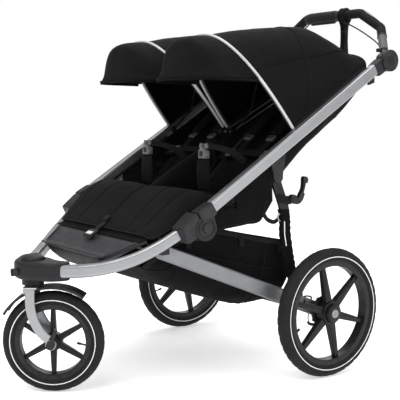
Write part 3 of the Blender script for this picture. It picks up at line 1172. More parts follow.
for sg, tag in ((1, "left"), (-1, "right")):
    rows = [[(sg * q[0], q[1], q[2]) for q in (canopy_shape(i, j) for j in range(NC))] for i in range(NR)]
    o = grid("canopy_cloth_" + tag, rows, "canopyf", thick=1.3, off=-sg * 1.0, sub=0)
    o.data.materials.append(M["lining"])
    fix_normals(o)
    cen = Vector((sg * XC * S, -0.02, 0.84))
    for p in o.data.polygons:
        if (p.center - cen).dot(p.normal) < 0:
            p.material_index = 1
    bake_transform(o)
    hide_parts("canopy_" + tag)

    # seams of the canopy, sewn over the roof and down each side
    def line(ifn, j0, j1, lift, name, r=1.1, m_="binding"):
        ps = []
        for j in range(j0, j1 + 1):
            fi = ifn(j)
            i0 = int(min(max(math.floor(fi), 0), NR - 2))
            t_ = fi - i0
            q = canopy_shape(i0, j) * (1 - t_) + canopy_shape(i0 + 1, j) * t_
            r_ = np.array([q[0] - XC, 0.0, q[2] - 880.0])
            r_ = r_ / np.linalg.norm(r_)
            q = q + r_ * lift
            ps.append((sg * q[0], q[1], q[2]))
        return ps
    a = []
    # cross seam behind the crown
    cs = line(lambda j: 19.5 + 2.0 * math.sin(math.pi * j / (NC - 1)), 1, NC - 2, 0.9, "x")
    a.append(tube("s", cs, 1.1, "canopyf", 2, 6))
    nf = lambda k: (sg * math.cos(math.pi * k), 0, math.sin(math.pi * k))
    for d_ in (-3.0, 3.0):
        a.append(stitches("t", [(p[0], p[1] + d_, p[2]) for p in cs], nf, 5.0, 3.2, 0.4))
    # long seams from the rear edge to the front bow, high on each shoulder
    for jj in (15, NC - 16):
        ls = []
        for i in range(1, NR - 1):
            q = canopy_shape(i, jj)
            r_ = np.array([q[0] - XC, 0.0, q[2] - 880.0])
            r_ = r_ / np.linalg.norm(r_)
            q = q + r_ * 0.9
            ls.append((sg * q[0], q[1], q[2]))
        a.append(tube("s", ls, 1.0, "canopyf", 1, 6))
    o = join("canopy_seams_" + tag, a)
    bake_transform(o)
    # bound hem along the tube on both sides and over the rear edge
    a = []
    for jj in (0, NC - 1):
        hem = [canopy_shape(i, jj) + np.array([0, 0, 1.0]) for i in range(NR)]
        a.append(sweep("h", [(sg * q[0], q[1], q[2]) for q in hem], band(9.0, 3.2), "binding", up=(1, 0, 0), n=1))
        h2 = [canopy_shape(i, jj + (1 if jj == 0 else -1)) for i in range(NR)]
        side = 1.6 if jj == 0 else -1.6
        a.append(stitches("t", [(sg * (q[0] + side), q[1], q[2] + 3) for q in h2], (sg * (1 if jj == 0 else -1), 0, 0), 5.0, 3.2, 0.4))
    o = join("canopy_side_hems_" + tag, a)
    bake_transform(o)
    a = [tube("h", [(sg * q[0], q[1] + 0.5, q[2]) for q in (canopy_shape(0, j) for j in range(NC))], 3.0, "binding", 1, 8)]
    a.append(stitches("t", [(sg * q[0] * 1.0, q[1], q[2] + 1.4) for q in (canopy_shape(2, j) for j in range(2, NC - 2))], nf, 5.0, 3.2, 0.4))
    o = join("canopy_rear_hem_" + tag, a)
    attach(o, "upper_frame")
    # apron that closes the gap between the canopy and the top of the seat back
    rows = []
    for k in range(7):
        t_ = k / 6.0
        row = []
        for j in range(0, NC):
            q = canopy_shape(0, j)
            tx = XC + (q[0] - XC) * (1 - 0.02 * t_)
            ty = 196 + 8 * t_ - 10 * math.sin(math.pi * t_) * math.sin(math.pi * j / (NC - 1))
            tz0 = q[2]
            tz1 = 884 + (q[2] - 925) * 0.05
            row.append((sg * tx, q[1] + (204 - q[1]) * t_ + 5 * math.sin(math.pi * t_), tz0 + (tz1 - tz0) * t_))
        rows.append(row)
    o = grid("canopy_back_apron_" + tag, rows, "lining", thick=1.2, off=0.0, sub=1)
    relief(o, lambda x, y, z: 1.2 * snoise(x, y, z * 0.4, 0.02))
    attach(o, "upper_frame")
    # reflective piping over the front bow
    pp = []
    for j in range(0, NC):
        q = canopy_shape(NR - 1, j)
        r_ = np.array([q[0] - XC, -60.0, q[2] - 900.0])
        r_ = r_ / np.linalg.norm(r_)
        q = q + r_ * 2.2
        pp.append((sg * q[0], q[1], q[2]))
    o1 = tube("a", pp, 4.4, "reflect", 2, 12)
    a = [o1]
    # lip of the piping that is sewn into the seam
    a.append(tube("b", [(p[0], p[1] + 3.8, p[2] - 0.5) for p in pp], 2.0, "binding", 1, 8))
    o = join("canopy_piping_" + tag, a)
    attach(o, "canopy_front_" + tag)

# ---- visors: stiff brim with a hem, hung from the front bow
def visor_rows(xc, w):
    bow = arch(xc, w, BOWF[0], BOWF[1], 49)
    up = [p for p in bow if p[2] > 880]
    n = len(up)
    rows = [[(x, y - 3.0, z) for x, y, z in up]]
    for k, (fwd, dz) in enumerate(((0.22, 0.005), (0.45, 0.02), (0.66, 0.05), (0.85, 0.11), (0.94, 0.22), (0.98, 0.45), (0.975, 0.64), (0.98, 0.82), (1.03, 0.94), (1.06, 1.0))):
        row = []
        for i, p in enumerate(up):
            s_ = math.sin(math.pi * i / (n - 1)) ** 0.35 if 0 < i < n - 1 else 0.0
            c_ = math.cos(math.pi * i / (n - 1))
            ex = xc + (w - 6) * math.copysign(abs(c_) ** 0.6, c_)
            yl = -229 - 176 * s_
            zl = 880 + 4 * s_
            y = p[1] - 3.0 + (yl - p[1] + 3.0) * fwd
            z = p[2] + (zl - p[2]) * dz
            x = p[0] + (ex - p[0]) * dz
            row.append((x, y, z))
        rows.append(row)
    return rows


VR = visor_rows(XC, CW)
for sg, tag in ((1, "left"), (-1, "right")):
    rows = [[(sg * x, y, z) for x, y, z in r] for r in VR]
    nrv, ncv = len(rows), len(rows[0])
    rr = []
    for i, r in enumerate(rows):
        u = i / (nrv - 1)
        q = []
        for j, p in enumerate(r):
            a_ = j / (ncv - 1)
            # the cloth hangs in slightly between the piping and the hem wire
            d = 3.5 * math.sin(math.pi * max(0, (u - 0.35) / 0.65)) * math.sin(math.pi * a_)
            q.append((p[0], p[1] + d + 0.8 * snoise(*p, 0.02), p[2] + 0.6 * snoise(p[1], p[0], p[2], 0.03)))
        rr.append(q)
    o = grid("visor_cloth_" + tag, rr, "canopyf", thick=1.6, off=0.0, sub=1)
    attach(o, "canopy_front_" + tag)
    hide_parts("visor_" + tag)
    hem = rr[-1]
    a = [sweep("h", hem, band(4.6, 11.0), "canopyf", up=(0, -0.2, 1), n=1),
         stitches("t", [(p[0], p[1] - 3.0, p[2] + 4.5) for p in hem[1:-1]], lambda k: (0.0, -1, 0.1), 5.0, 3.4, 0.45)]
    h2 = rr[-3]
    a.append(tube("s", [(p[0], p[1] - 0.9, p[2]) for p in h2], 0.8, "canopyf", 1, 6))
    o = join("visor_hem_" + tag, a)
    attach(o, "canopy_front_" + tag)

# ---- mesh side panels between the tubes and the seat
for sg, tag in ((1, "left"), (-1, "right")):
    up_e = cr([(0, -402, zline(-402) - 12), (0, -330, zline(-330) - 12), (0, -260, zline(-260) - 12), (0, -196, zline(-196) - 12)], 6)
    lo_e = cr([(0, -388, 516), (0, -330, 520), (0, -270, 522), (0, -208, 528)], 6)
    rows = []
    for k in range(12):
        t_ = k / 11.0
        rows.append([(sg * (309.5 + 3.0 * math.sin(math.pi * t_) * math.sin(math.pi * i / 18.0)) - sg * 6.0 * (1 - t_), lo_e[i][1] + (up_e[i][1] - lo_e[i][1]) * t_, lo_e[i][2] + (up_e[i][2] - lo_e[i][2]) * t_) for i in range(len(up_e))])
    o = grid("side_mesh_" + tag, rows, "mesh", thick=0.0)
    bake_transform(o)
    if sg > 0:
        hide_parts("side_panels")
    a = []
    for e in (rows[0], rows[-1], [r[0] for r in rows], [r[-1] for r in rows]):
        a.append(sweep("b", e, band(9.0, 2.4), "binding", up=(1, 0, 0), n=1))
    # sewn ladder bands across the mesh
    for k in (3, 6, 9):
        a.append(sweep("l", rows[k], band(3.0, 1.6), "binding", up=(1, 0, 0), n=1))
    o = join("side_mesh_binding_" + tag, a)
    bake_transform(o)

# ---- solid lower side cloth and the sling under the seat, wrapped round the seat's base tube
BAGP = cr([(0, -392, 518), (0, -384, 500), (0, -352, 491), (0, -300, 483), (0, -248, 476), (0, -222, 475), (0, -208, 482), (0, -200, 502), (0, -193, 524), (0, -186, 536)], 4)
def rod_z(y):
    return 466.0 + (min(y, -252.0) + 452.0) * 19.0 / 200.0


rows = []
for q in BAGP:
    row = []
    for i in range(49):
        k = i / 24.0 - 1
        x = 312.8 * math.copysign(abs(k) ** 0.9, k)
        e = min(1.0, max(0.0, (abs(x) - 262) / 34.0))
        e = e * e * (3 - 2 * e)
        if q[1] > -252:
            e *= max(0.0, 1 - (q[1] + 252) / 24.0)
        seat = 3.0 * math.cos(math.pi * (abs(x) - 151) / 290.0) * (1 - e)
        row.append((x, q[1], q[2] * (1 - e) + (rod_z(q[1]) - 11.0) * e - seat))
    rows.append(row)
o = grid("seat_base_sling", rows, "fabric", thick=1.6, off=0.0, sub=1)
relief(o, lambda x, y, z: 1.6 * snoise(x, y, z, 0.012) + 0.6 * snoise(x, y, z, 0.04))
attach(o, "front_frame")
a = [tube("p", [rows[i][48] for i in range(0, len(rows), 3)], 1.8, "binding", 3, 8), tube("p", [rows[i][0] for i in range(0, len(rows), 3)], 1.8, "binding", 3, 8)]
for xx in (24,):
    a.append(stitches("s", [(rows[i][24][0], rows[i][24][1], rows[i][24][2] - 1.6) for i in range(4, len(rows) - 10)], (0, 0, -1), 5, 3.4, 0.45))
o = join("seat_base_sling_binding", a)
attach(o, "front_frame")
for sg, tag in ((1, "left"), (-1, "right")):
    up_e = cr([(0, -380, zline(-380) - 13), (0, -320, zline(-320) - 13), (0, -260, zline(-260) - 13), (0, -205, zline(-205) - 13), (0, -172, zline(-172) - 13)], 6)
    lo_e = cr([(0, -396, 461), (0, -320, 467.5), (0, -255, 473.5), (0, -214, 479), (0, -168, 534)], 6)
    rows = []
    for k in range(12):
        t_ = k / 11.0
        row = []
        for i in range(len(up_e)):
            y = lo_e[i][1] + (up_e[i][1] - lo_e[i][1]) * t_
            z = lo_e[i][2] + (up_e[i][2] - lo_e[i][2]) * t_
            x = 313.6 - 4.0 * t_ + 1.6 * math.sin(math.pi * t_) * math.sin(math.pi * min(1, i / 22.0)) + 0.9 * snoise(y, z, sg, 0.02)
            row.append((sg * x, y, z))
        rows.append(row)
    # the front third above the fold line stays open mesh
    o = grid("side_cloth_" + tag, rows, "fabric", thick=1.2, off=0.0, sub=0)
    bm = bmesh.new()
    bm.from_mesh(o.data)
    kill = [f for f in bm.faces if f.calc_center_median().y < -0.300 and f.calc_center_median().z > 0.522]
    bmesh.ops.delete(bm, geom=kill, context="FACES")
    bm.to_mesh(o.data)
    bm.free()
    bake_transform(o)
    a = [tube("p", rows[-1][::3], 2.2, "binding", 3, 8), tube("p", [r[-1] for r in rows], 2.0, "binding", 2, 8), tube("p", rows[0][::3], 1.8, "binding", 3, 8)]
    a.append(stitches("s", [(q[0] + sg * 1.6, q[1], q[2] + 5) for q in rows[0][2:]], (sg, 0, 0), 5, 3.4, 0.45))
    o = join("side_cloth_binding_" + tag, a)
    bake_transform(o)
    # wing of cloth between the tube and the edge of the seat back
    ys = lin(-176, 196, 34)
    rows = []
    for k in range(9):
        t_ = k / 8.0
        row = []
        for i, y in enumerate(ys):
            u = i / 33.0
            ly, lz = -182 + 384 * u, 562 + 306 * u
            uy, uz = y - 4, zline(y) - 13
            x = 291 + (309 - 291) * t_ ** 0.8
            sag = 3.0 * math.sin(math.pi * t_)
            row.append((sg * (x + 0.8 * snoise(y, k * 9, sg, 0.02)), ly + (uy - ly) * t_, lz + (uz - lz) * t_ - sag))
        rows.append(row)
    o = grid("side_wing_" + tag, rows, "fabric", thick=1.2, off=0.0, sub=0)
    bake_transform(o)
    a = [tube("p", rows[-1][::3], 2.0, "binding", 3, 8)]
    a.append(stitches("s", [(q[0] - sg * 0.6, q[1], q[2] - 6) for q in rows[-1][1:-1]], (-sg, 0, 0), 5, 3.4, 0.45))
    o = join("side_wing_binding_" + tag, a)
    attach(o, "upper_frame")

# ---- gusset that closes the seat behind the cushions
rows = []
for q in cr([(0, -210, 530), (0, -201, 535), (0, -195, 544), (0, -191, 556), (0, -187, 566)], 4):
    rows.append([(x, q[1] + 1.2 * snoise(x, q[2], 3, 0.02), q[2]) for x in lin(-300, 300, 81)])
o = grid("seat_rear_gusset", rows, "fabric", thick=1.4, off=0.0, sub=0)
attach(o, "front_frame")

# ---- basket: a cloth tub hung between the lower tubes, filled by gravity
ST_B = [(-546, 366, 360, 214), (-530, 352, 378, 226), (-480, 318, 404, 236), (-440, 302, 428, 238), (-375, 278, 452, 246), (-318, 258, 446, 252), (-260, 238, 434, 256), (-205, 220, 421, 262), (-154, 206, 409, 268), (-105, 199, 401, 271), (-70, 204, 399, 272), (-62, 226, 398, 271)]
NB = 41
rows = []
for y, zb, zt, w in ST_B:
    row = []
    d = zt - zb
    for i in range(NB):
        a_ = math.pi * i / (NB - 1)
        cx = math.copysign(abs(math.cos(a_)) ** 0.42, math.cos(a_))
        sz_ = abs(math.sin(a_)) ** 0.5
        row.append((w * cx, y, zt - d * sz_))
    rows.append(row)
fine = []
for j in range(NB):
    fine.append(cr([r[j] for r in rows], 3))
fine = [[fine[j][i] for j in range(NB)] for i in range(len(fine[0]))]
# even out each cross-section so the cloth's cells are alike
even = []
for r in fine:
    P_ = [np.array(q) for q in r]
    even.append([along(P_, k / (NB - 1.0))[0] for k in range(NB)])
fine = even
nrb = len(fine)
# front wall: rows gathered up to the rim
f_in = [np.array([q[0], q[1] - 2.0, q[2]]) for q in fine[0]]
bas = grid("basket_cloth", fine, "fabric", thick=0.0)
pins = {}
for i in range(nrb):
    for j in range(NB):
        if j <= 1 or j >= NB - 2 or i in (0, nrb - 1):
            pins[i * NB + j] = 1.0
puff(bas, pins, 0.0, 14.0, 20, tension=6.0, gravity=1.0, bend=0.2)
bas_pts = pts_mm(bas)
md = bas.modifiers.new("skin", "SOLIDIFY")
md.thickness = 1.4 * S
md.offset = 0
md = bas.modifiers.new("sub", "SUBSURF")
md.levels = md.render_levels = 1
apply_all(bas)
relief(bas, lambda x, y, z: 1.3 * snoise(x, y, z, 0.012) + 0.8 * snoise(x * 0.3, y * 1.6, z * 0.4, 0.04))


def bas_blend(o):
    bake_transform(o)


def wall(name, row, material, lift):
    """end wall of the tub, a half-round panel"""
    P_ = [np.array(q) for q in row]
    zt = P_[0][2]
    rows_ = []
    for k in range(9):
        t_ = k / 8.0
        rows_.append([(q[0], q[1] + lift * math.sin(math.pi * t_ * 0.5) * math.sin(math.pi * j / (len(P_) - 1)), q[2] + (zt - q[2]) * t_) for j, q in enumerate(P_)])
    o = grid(name, rows_, material, thick=1.4, off=0.0, sub=1)
    relief(o, lambda x, y, z: 0.8 * snoise(x, y, z, 0.02))
    return o


w1 = wall("basket_front_wall", [bas_pts[j] for j in range(NB)], "fabric", -5.0)
w2 = wall("basket_rear_wall", [bas_pts[(nrb - 1) * NB + j] for j in range(NB)], "fabric", 6.0)
a = []
for j in (0, NB - 1):
    e = [np.array(bas_pts[i * NB + j]) for i in range(nrb)]
    a.append(sweep("r", [(q[0], q[1], q[2] + 1.0) for q in e[::2]] + [tuple(e[-1] + np.array([0, 0, 1.0]))], band(13.0, 3.6), "binding", up=(1, 0, 0), n=2))
    sgn = 1 if j == 0 else -1
    a.append(stitches("t", [(q[0] + sgn * 2.4, q[1], q[2] - 3.2) for q in e], (sgn, 0, 0), 5, 3.4, 0.45))
# flap seam and the lower gusset seam on each side
for sgn in (1, -1):
    for frac, r_ in ((0.11, 1.5), (0.30, 1.1)):
        jj = frac * (NB - 1)
        jj = int(round(jj if sgn > 0 else (NB - 1) - jj))
        e = [np.array(bas_pts[i * NB + jj]) for i in range(2, nrb)]
        a.append(tube("g", [(q[0] + sgn * 1.0, q[1], q[2] - 0.5) for q in e[::2]], r_, "binding", 2, 6))
for i in (9, 24):
    i = min(i, nrb - 2)
    e = [np.array(bas_pts[i * NB + j]) for j in range(1, NB - 1)]
    a.append(tube("g", [(q[0] * 1.004, q[1], q[2] - 1.0) for q in e], 1.3, "binding", 1, 6))
rimr = [np.array(bas_pts[(nrb - 1) * NB]), np.array(bas_pts[nrb * NB - 1])]
a.append(tube("g", [rimr[0] + np.array([0, 5.0, 1]), (rimr[0] + rimr[1]) / 2 + np.array([0, 9, -3.0]), rimr[1] + np.array([0, 5.0, 1])], 3.0, "binding", 10, 8))
seams = join("basket_seams_and_rim", a)
for o in (w1, w2):
    pass
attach(bas, "rear_frame")
for o in (w1, w2, seams):
    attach(o, "rear_frame")
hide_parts("basket")
# hanging loops from the basket rim to the tubes
a = []
for sg in (1, -1):
    for y in (-420, -250, -110):
        i = min(range(nrb), key=lambda k: abs(bas_pts[k * NB][1] - y))
        q = np.array(bas_pts[i * NB]) * np.array([sg, 1, 1])
        a.append(sweep("l", [tuple(q + np.array([sg * 1, 0, 0])), tuple(q + np.array([sg * 5, 2, -14])), tuple(q + np.array([sg * 6, 3, -30]))], band(18, 1.8), "webbing", up=(sg, 0, 0), n=4))
o = join("basket_hanging_loops", a)
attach(o, "rear_frame")
# ---- harness
def face(y, off):
    """point on the seat back's front face, off mm in front of it"""
    tab = [(-176, 592), (-120, 644), (-30, 722), (60, 792), (150, 857)]
    for a_, b_ in zip(tab, tab[1:]):
        if y <= b_[0] or b_ is tab[-1]:
            k = (y - a_[0]) / (b_[0] - a_[0])
            z = a_[1] + k * (b_[1] - a_[1])
            break
    return (y - 0.64 * off, z + 0.77 * off)


NB_ = (0, -0.64, 0.77)
for sg, tag in ((1, "left"), (-1, "right")):
    xc = sg * 152.0
    a = []
    for dx in (-58, 58):
        # webbing from the slot in the back, down the face, to the waist
        P_ = []
        for y, o_, k in ((118, 8, 1.0), (104, 16, 1.0), (60, 19, 1.0), (0, 20, 0.98), (-60, 21, 0.92), (-104, 22, 0.84), (-122, 20, 0.80)):
            yy, zz = face(y, o_)
            P_.append((xc + dx * k, yy, zz))
        a.append(sweep("w", P_, band(25, 2.2), "webbing", up=NB_, n=5))
        # shoulder pad: sleeve with soft edges
        Q_ = []
        for y, o_, k in ((98, 22, 1.0), (70, 24, 1.0), (30, 25, 1.0), (-10, 25, 0.975), (-50, 25, 0.935)):
            yy, zz = face(y, o_)
            Q_.append((xc + dx * k, yy, zz))
        pad = sweep("p", Q_, band(50, 10, 4.5), "knit", up=NB_, n=7)
        a.append(pad)
        for e in (-21, 21):
            a.append(stitches("s", [(p[0] + e, p[1] - 0.64 * 5.2, p[2] + 0.77 * 5.2) for p in Q_], NB_, 5, 3.4, 0.45))
        # grey slider and tongue under the pad
        yy, zz = face(-66, 25)
        a.append(rbox("b", (xc + dx * 0.915, yy, zz), (32, 22, 7), "buckle", 2.2, Matrix.Rotation(math.radians(40), 3, "X")))
        a.append(rbox("b", (xc + dx * 0.915, yy - 3.5, zz + 4.2), (20, 5, 2), "dark", 0.8, Matrix.Rotation(math.radians(40), 3, "X")))
        # keeper bar and stitched box where the webbing leaves the back
        yy, zz = face(112, 12)
        a.append(rbox("b", (xc + dx, yy, zz), (40, 6, 7), "dark", 1.8, Matrix.Rotation(math.radians(40), 3, "X")))
    # waist webbing across with adjusters
    W_ = []
    for x, o_ in ((-128, 7), (-108, 14), (-70, 21), (-30, 25), (30, 25), (70, 21), (108, 14), (128, 7)):
        yy, zz = face(-118, o_ + 3)
        W_.append((xc + x, yy, zz))
    a.append(sweep("w", W_, band(25, 2.2), "webbing", up=NB_, n=5))
    for x in (-84, 84):
        yy, zz = face(-118, 23)
        a.append(rbox("b", (xc + x, yy, zz), (24, 32, 5), "buckle", 1.8, Matrix.Rotation(math.radians(40), 3, "X")))
        a.append(rbox("b", (xc + x, yy - 2.4, zz + 2.8), (14, 6, 2.2), "dark", 0.9, Matrix.Rotation(math.radians(40), 3, "X")))
    # hip pads
    for x in (-104, 104):
        yy, zz = face(-118, 16)
        a.append(rbox("b", (xc + x * 1.06, yy, zz), (44, 46, 9), "knit", 4.0, Matrix.Rotation(math.radians(40), 3, "X"), 4))
    o = join("harness_straps_" + tag, a)
    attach(o, "seat_" + tag)
    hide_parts("harness_" + tag)
    # head support: a crowned cushion with a piped edge
    T_, B2 = [], []
    for i in range(17):
        y = 72 + 92 * i / 16.0
        ra, rb = [], []
        for j in range(25):
            x = -84 + 168 * j / 24.0
            e = min(1.0, min(84 - abs(x), 92 - abs(i / 16.0 * 92 - 46) * 2 + 6) / 22.0)
            e = max(0.03, e) ** 0.5
            yy, zz = face(y, 6 + 13 * e)
            ra.append((xc + x * (1 - 0.10 * abs(i / 8.0 - 1) ** 3), yy, zz))
            yy, zz = face(y, 6.0)
            rb.append((xc + x * (1 - 0.10 * abs(i / 8.0 - 1) ** 3), yy, zz))
        T_.append(ra)
        B2.append(rb)
    o = pillow("head_cushion_" + tag, T_, B2, "knit")
    pins = {}
    for i in range(17):
        for j in range(25):
            if i in (0, 16) or j in (0, 24) or j in (8, 16):
                pins[i * 25 + j] = 1.0
            pins[17 * 25 + i * 25 + j] = 1.0
    puff(o, pins, 4.0, 6.0)
    hp = pts_mm(o)
    subdivide(o, 1)
    relief(o, lambda x, y, z: 0.5 * snoise(x, y, z, 0.03))
    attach(o, "seat_" + tag)
    a = [stitches("s", [hp[i * 25 + j] for i in range(1, 16)], NB_, 5, 3.4) for j in (8, 16)]
    ed = [hp[j] for j in range(25)] + [hp[i * 25 + 24] for i in range(1, 17)] + [hp[16 * 25 + j] for j in range(23, -1, -1)] + [hp[i * 25] for i in range(15, 0, -1)]
    a.append(tube("e", [tuple(q) for q in ed[::2]], 2.0, "binding", 2, 6, closed=True))
    o = join("head_cushion_seams_" + tag, a)
    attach(o, "seat_" + tag)
    # crotch strap: webbing through the seat, padded sleeve, and the buckle's button
    xc2 = sg * 155.0
    T_, B2 = [], []
    for i in range(15):
        v = i / 14.0
        z = 560 + 90 * v
        y = -296 - 4 * math.sin(math.pi * v * 0.6)
        w = 27 + 6 * math.sin(math.pi * min(1, v * 0.8 + 0.1))
        ra, rb = [], []
        for j in range(13):
            k = j / 12.0 * 2 - 1
            e = max(0.04, 1 - abs(k) ** 3) ** 0.5 * max(0.25, math.sin(math.pi * min(0.999, max(0.001, v * 0.96 + 0.02)))) ** 0.35
            ra.append((xc2 + w * k, y - 7.0 * e, z))
            rb.append((xc2 + w * k, y + 7.0 * e, z))
        T_.append(ra)
        B2.append(rb)
    o = pillow("crotch_pad_" + tag, T_, B2, "knit")
    subdivide(o, 1)
    relief(o, lambda x, y, z: 0.4 * snoise(x, y, z, 0.05))
    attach(o, "front_frame")
    if sg > 0:
        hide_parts("crotch_straps")
    a = [sweep("w", [(xc2, -290, 546), (xc2, -293, 556), (xc2, -297, 566)], band(25, 2.4), "webbing", up=(0, 1, 0.2), n=4),
         sweep("w", [(xc2, -298, 645), (xc2, -298, 652), (xc2, -298, 658)], band(22, 2.4), "webbing", up=(0, 1, 0), n=4)]
    for e in (-21, 21):
        a.append(stitches("s", [(xc2 + e, -306.6 + abs(e) * 0.06, z) for z in range(568, 646, 6)], (0, -1, 0), 5, 3.4, 0.45))
    a.append(rbox("b", (xc2, -308.8, 668), (15, 2.6, 15), "dark", 1.2))
    a.append(rbox("b", (xc2, -298.0, 664), (38, 15, 11), "buckle", 3.0))
    for e in (-1, 1):
        a.append(rbox("b", (xc2 + e * 12, -298.0, 690), (13, 9, 16), "buckle", 2.4, Matrix.Rotation(math.radians(-e * 16), 3, "Y")))
        # the waist straps' tails run back from the buckle and down to the seat
        a.append(sweep("w", [(xc2 + e * 14, -296, 690), (xc2 + e * 22, -288, 690), (xc2 + e * 38, -262, 684), (xc2 + e * 56, -228, 668), (xc2 + e * 72, -196, 640)], band(22, 2.0), "webbing", up=(0, -0.8, 0.55), n=6))
    o = join("crotch_strap_and_buckle_detail_" + tag, a)
    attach(o, "front_frame")

# ---- wrist strap: soft webbing loop sewn back on itself
a = []
WX, WZ, WY = 58.0, HZ, HY
L_ = [(WX, WY - 16.6, WZ - 2), (WX, WY - 15.5, WZ - 12), (WX, WY - 8, WZ - 24), (WX, WY - 2.5, WZ - 42), (WX + 0.5, WY - 1.8, WZ - 90), (WX, WY - 6, WZ - 136), (WX, WY - 1, WZ - 149), (WX, WY + 4, WZ - 136), (WX - 0.5, WY + 1.4, WZ - 90), (WX, WY + 2.2, WZ - 42), (WX, WY + 8, WZ - 24), (WX, WY + 15.5, WZ - 12), (WX, WY + 16.6, WZ - 2)]
a.append(sweep("w", L_, band(1.8, 18), "webbing", up=(1, 0, 0), n=6))
R_ = [(WX, WY + 16.8 * math.sin(t_), WZ + 16.8 * math.cos(t_)) for t_ in np.linspace(-1.75, 1.75, 15)]
a.append(sweep("r", R_, band(1.8, 18), "webbing", up=(1, 0, 0), n=2))
for k in range(4):
    a.append(stitches("s", [(WX - 7 + k * 4.6, WY - 4.2, WZ - 34), (WX - 7 + k * 4.6, WY - 3.4, WZ - 50)], (0, -1, 0), 4, 2.8, 0.4))
a.append(rbox("b", (WX, WY, WZ - 56), (21, 9, 8), "dark", 2.0))
o = join("wrist_strap_loop", a)
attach(o, "handle_body")
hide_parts("wrist_strap")

# ---- foam grip: end rings and the long glued seam
a = []
for sg in (1, -1):
    p0, p1 = arm_pt(0.69, sg), arm_pt(0.715, sg)
    a.append(tube("q", [p0, p1], 16.0, "dark", 2, 36))
    S_ = [tuple(arm_pt(0.72, sg) + np.array([sg * 10.8, 0, 10.8])), tuple(arm_pt(0.95, sg) + np.array([sg * 8, 0, 12.8])), (sg * 200, HY, HCZ + 34), (sg * 140, HY, HZ + 13), (sg * (104 if sg < 0 else 60), HY, HZ + 15.2)]
    if sg < 0:
        S_[-1] = (-126, HY, HZ + 15.2)
    a.append(tube("f", S_, 0.7, "foam", 5, 6))
a.append(disc("q", (HY, HZ), 16.4, -127.5, -124.5, "dark", 0.8, seg=40, hole=11.2))
a.append(disc("q", (HY, HZ), 16.4, 39.0, 42.0, "dark", 0.8, seg=40, hole=11.2))
a.append(disc("q", (HY, HZ), 17.8, 20.7, 38.3, "dark", 0.8, seg=40, hole=16.8))
a.append(disc("q", (HY, HZ), 17.8, -123.3, -112.7, "dark", 0.8, seg=40, hole=16.8))
o = join("foam_grip_rings", a)
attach(o, "handle_body")

# ---- struts: sleeve cloth, reflective strips and the recline webbing with its ring
def strut_pt(z):
    tab = [(246, -62), (285, -74), (350, -92), (430, -108), (490, -110), (545, -128), (602, -151)]
    for a_, b_ in zip(tab, tab[1:]):
        if z <= b_[0]:
            return a_[1] + (b_[1] - a_[1]) * (z - a_[0]) / (b_[0] - a_[0])
    return tab[-1][1]


for sg, tag in ((1, "left"), (-1, "right")):
    a = []
    P_ = [(sg * 303, strut_pt(z) - 0.5, z) for z in (300, 340, 380, 430, 470, 505)]
    rows = []
    path = cr(P_, 7)
    for k, p in enumerate(path):
        w, t_ = 19.5 + 1.4 * math.sin(k * 1.9) + 1.2 * snoise(k * 3.0, 5, sg, 0.1), 9.5 + 0.8 * math.sin(k * 2.6)
        ring = []
        for q in range(20):
            an = 2 * math.pi * q / 20
            cx, sx = math.cos(an), math.sin(an)
            ring.append((p[0] + sg * t_ * math.copysign(abs(cx) ** 0.7, cx), p[1] + w * math.copysign(abs(sx) ** 0.7, sx), p[2]))
        rows.append(ring)
    a.append(grid("c", rows, "fabric", closed=True, thick=0.0, sub=0))
    RS_ = [(sg * 313.2, strut_pt(z) - 10.0, z) for z in (396, 410, 430, 450, 470)]
    a.append(sweep("r", RS_, band(3.4, 1.4), "white", up=(1, 0, 0), n=4))
    o = join("strut_sleeve_" + tag, a)
    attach(o, "strut_body")
    a = []
    lp = [(sg * 296, -196, 520), (sg * 298, -190, 500), (sg * 300, -174, 478), (sg * 300, -150, 469), (sg * 300, -134, 476), (sg * 300, -128, 488)]
    a.append(sweep("w", lp, band(13, 2.6), "webbing", up=(1, 0, 0), n=7))
    o = join("recline_webbing_" + tag, a)
    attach(o, "upper_frame")
    a = []
    rr_ = [(sg * 305, -127 + 11 * math.sin(t_), 482 + 11 * math.cos(t_)) for t_ in np.linspace(0, 2 * math.pi, 25)[:-1]]
    a.append(tube("g", rr_, 2.0, "steel", 1, 8, closed=True, up=(1, 0, 0)))
    o = join("recline_ring_" + tag, a)
    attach(o, "upper_frame")

# transport hook: pad, white patch and rivet
a = []
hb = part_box("transport_hook")
hx = hb[1].x / S
a.append(sweep("s", [(hx + 0.6, -52, 550), (hx + 0.8, -47, 566), (hx + 0.6, -43.5, 580)], band(7.5, 1.0), "white", up=(1, 0, 0), n=4))
a.append(disc("d", (-94, 534), 6.5, hx - 0.3, hx + 2.0, "dsteel", 0.8, seg=32))
for k in range(5):
    a.append(rbox("r", (hx - 6.5, -41.0 - 0.3 * k, 588 - 7.0 * k), (13.2, 2.2, 2.4), "dark", 0.8, Matrix.Rotation(math.radians(8), 3, "X"), 2))
o = join("transport_hook_detail", a)
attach(o, "hook_body")
# lug and padded strap that carry the hook on the strut
a = [rbox("l", (306.6, -109, 531), (7.6, 40, 26), "dark", 2.6, None, 2), disc("d", (-94, 534), 9.5, 302.8, 310.7, "dark", 1.0, seg=36),
     sweep("p", [(312.5, strut_pt(540) - 21, 541), (314.5, strut_pt(536) - 8, 537), (314.5, strut_pt(532) + 8, 533), (312.0, strut_pt(528) + 21, 529)], band(24, 2.6), "webbing", up=(1, 0, 0), n=6)]
o = join("transport_hook_lug", a)
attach(o, "strut_body")

# nose: seam grooves, a cap ring over the swivel and a small side latch
a = []
for z0_, r_ in ((283.2, 15.6), (286.4, 17.4)):
    rg = [(r_ * math.cos(t_), SWY + r_ * math.sin(t_), z0_) for t_ in np.linspace(0, 2 * math.pi, 49)[:-1]]
    a.append(tube("g", rg, 1.3, "dark", 1, 8, closed=True, up=(0, 0, 1), spline=False))
o = join("swivel_collar_rings", a)
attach(o, "front_frame")
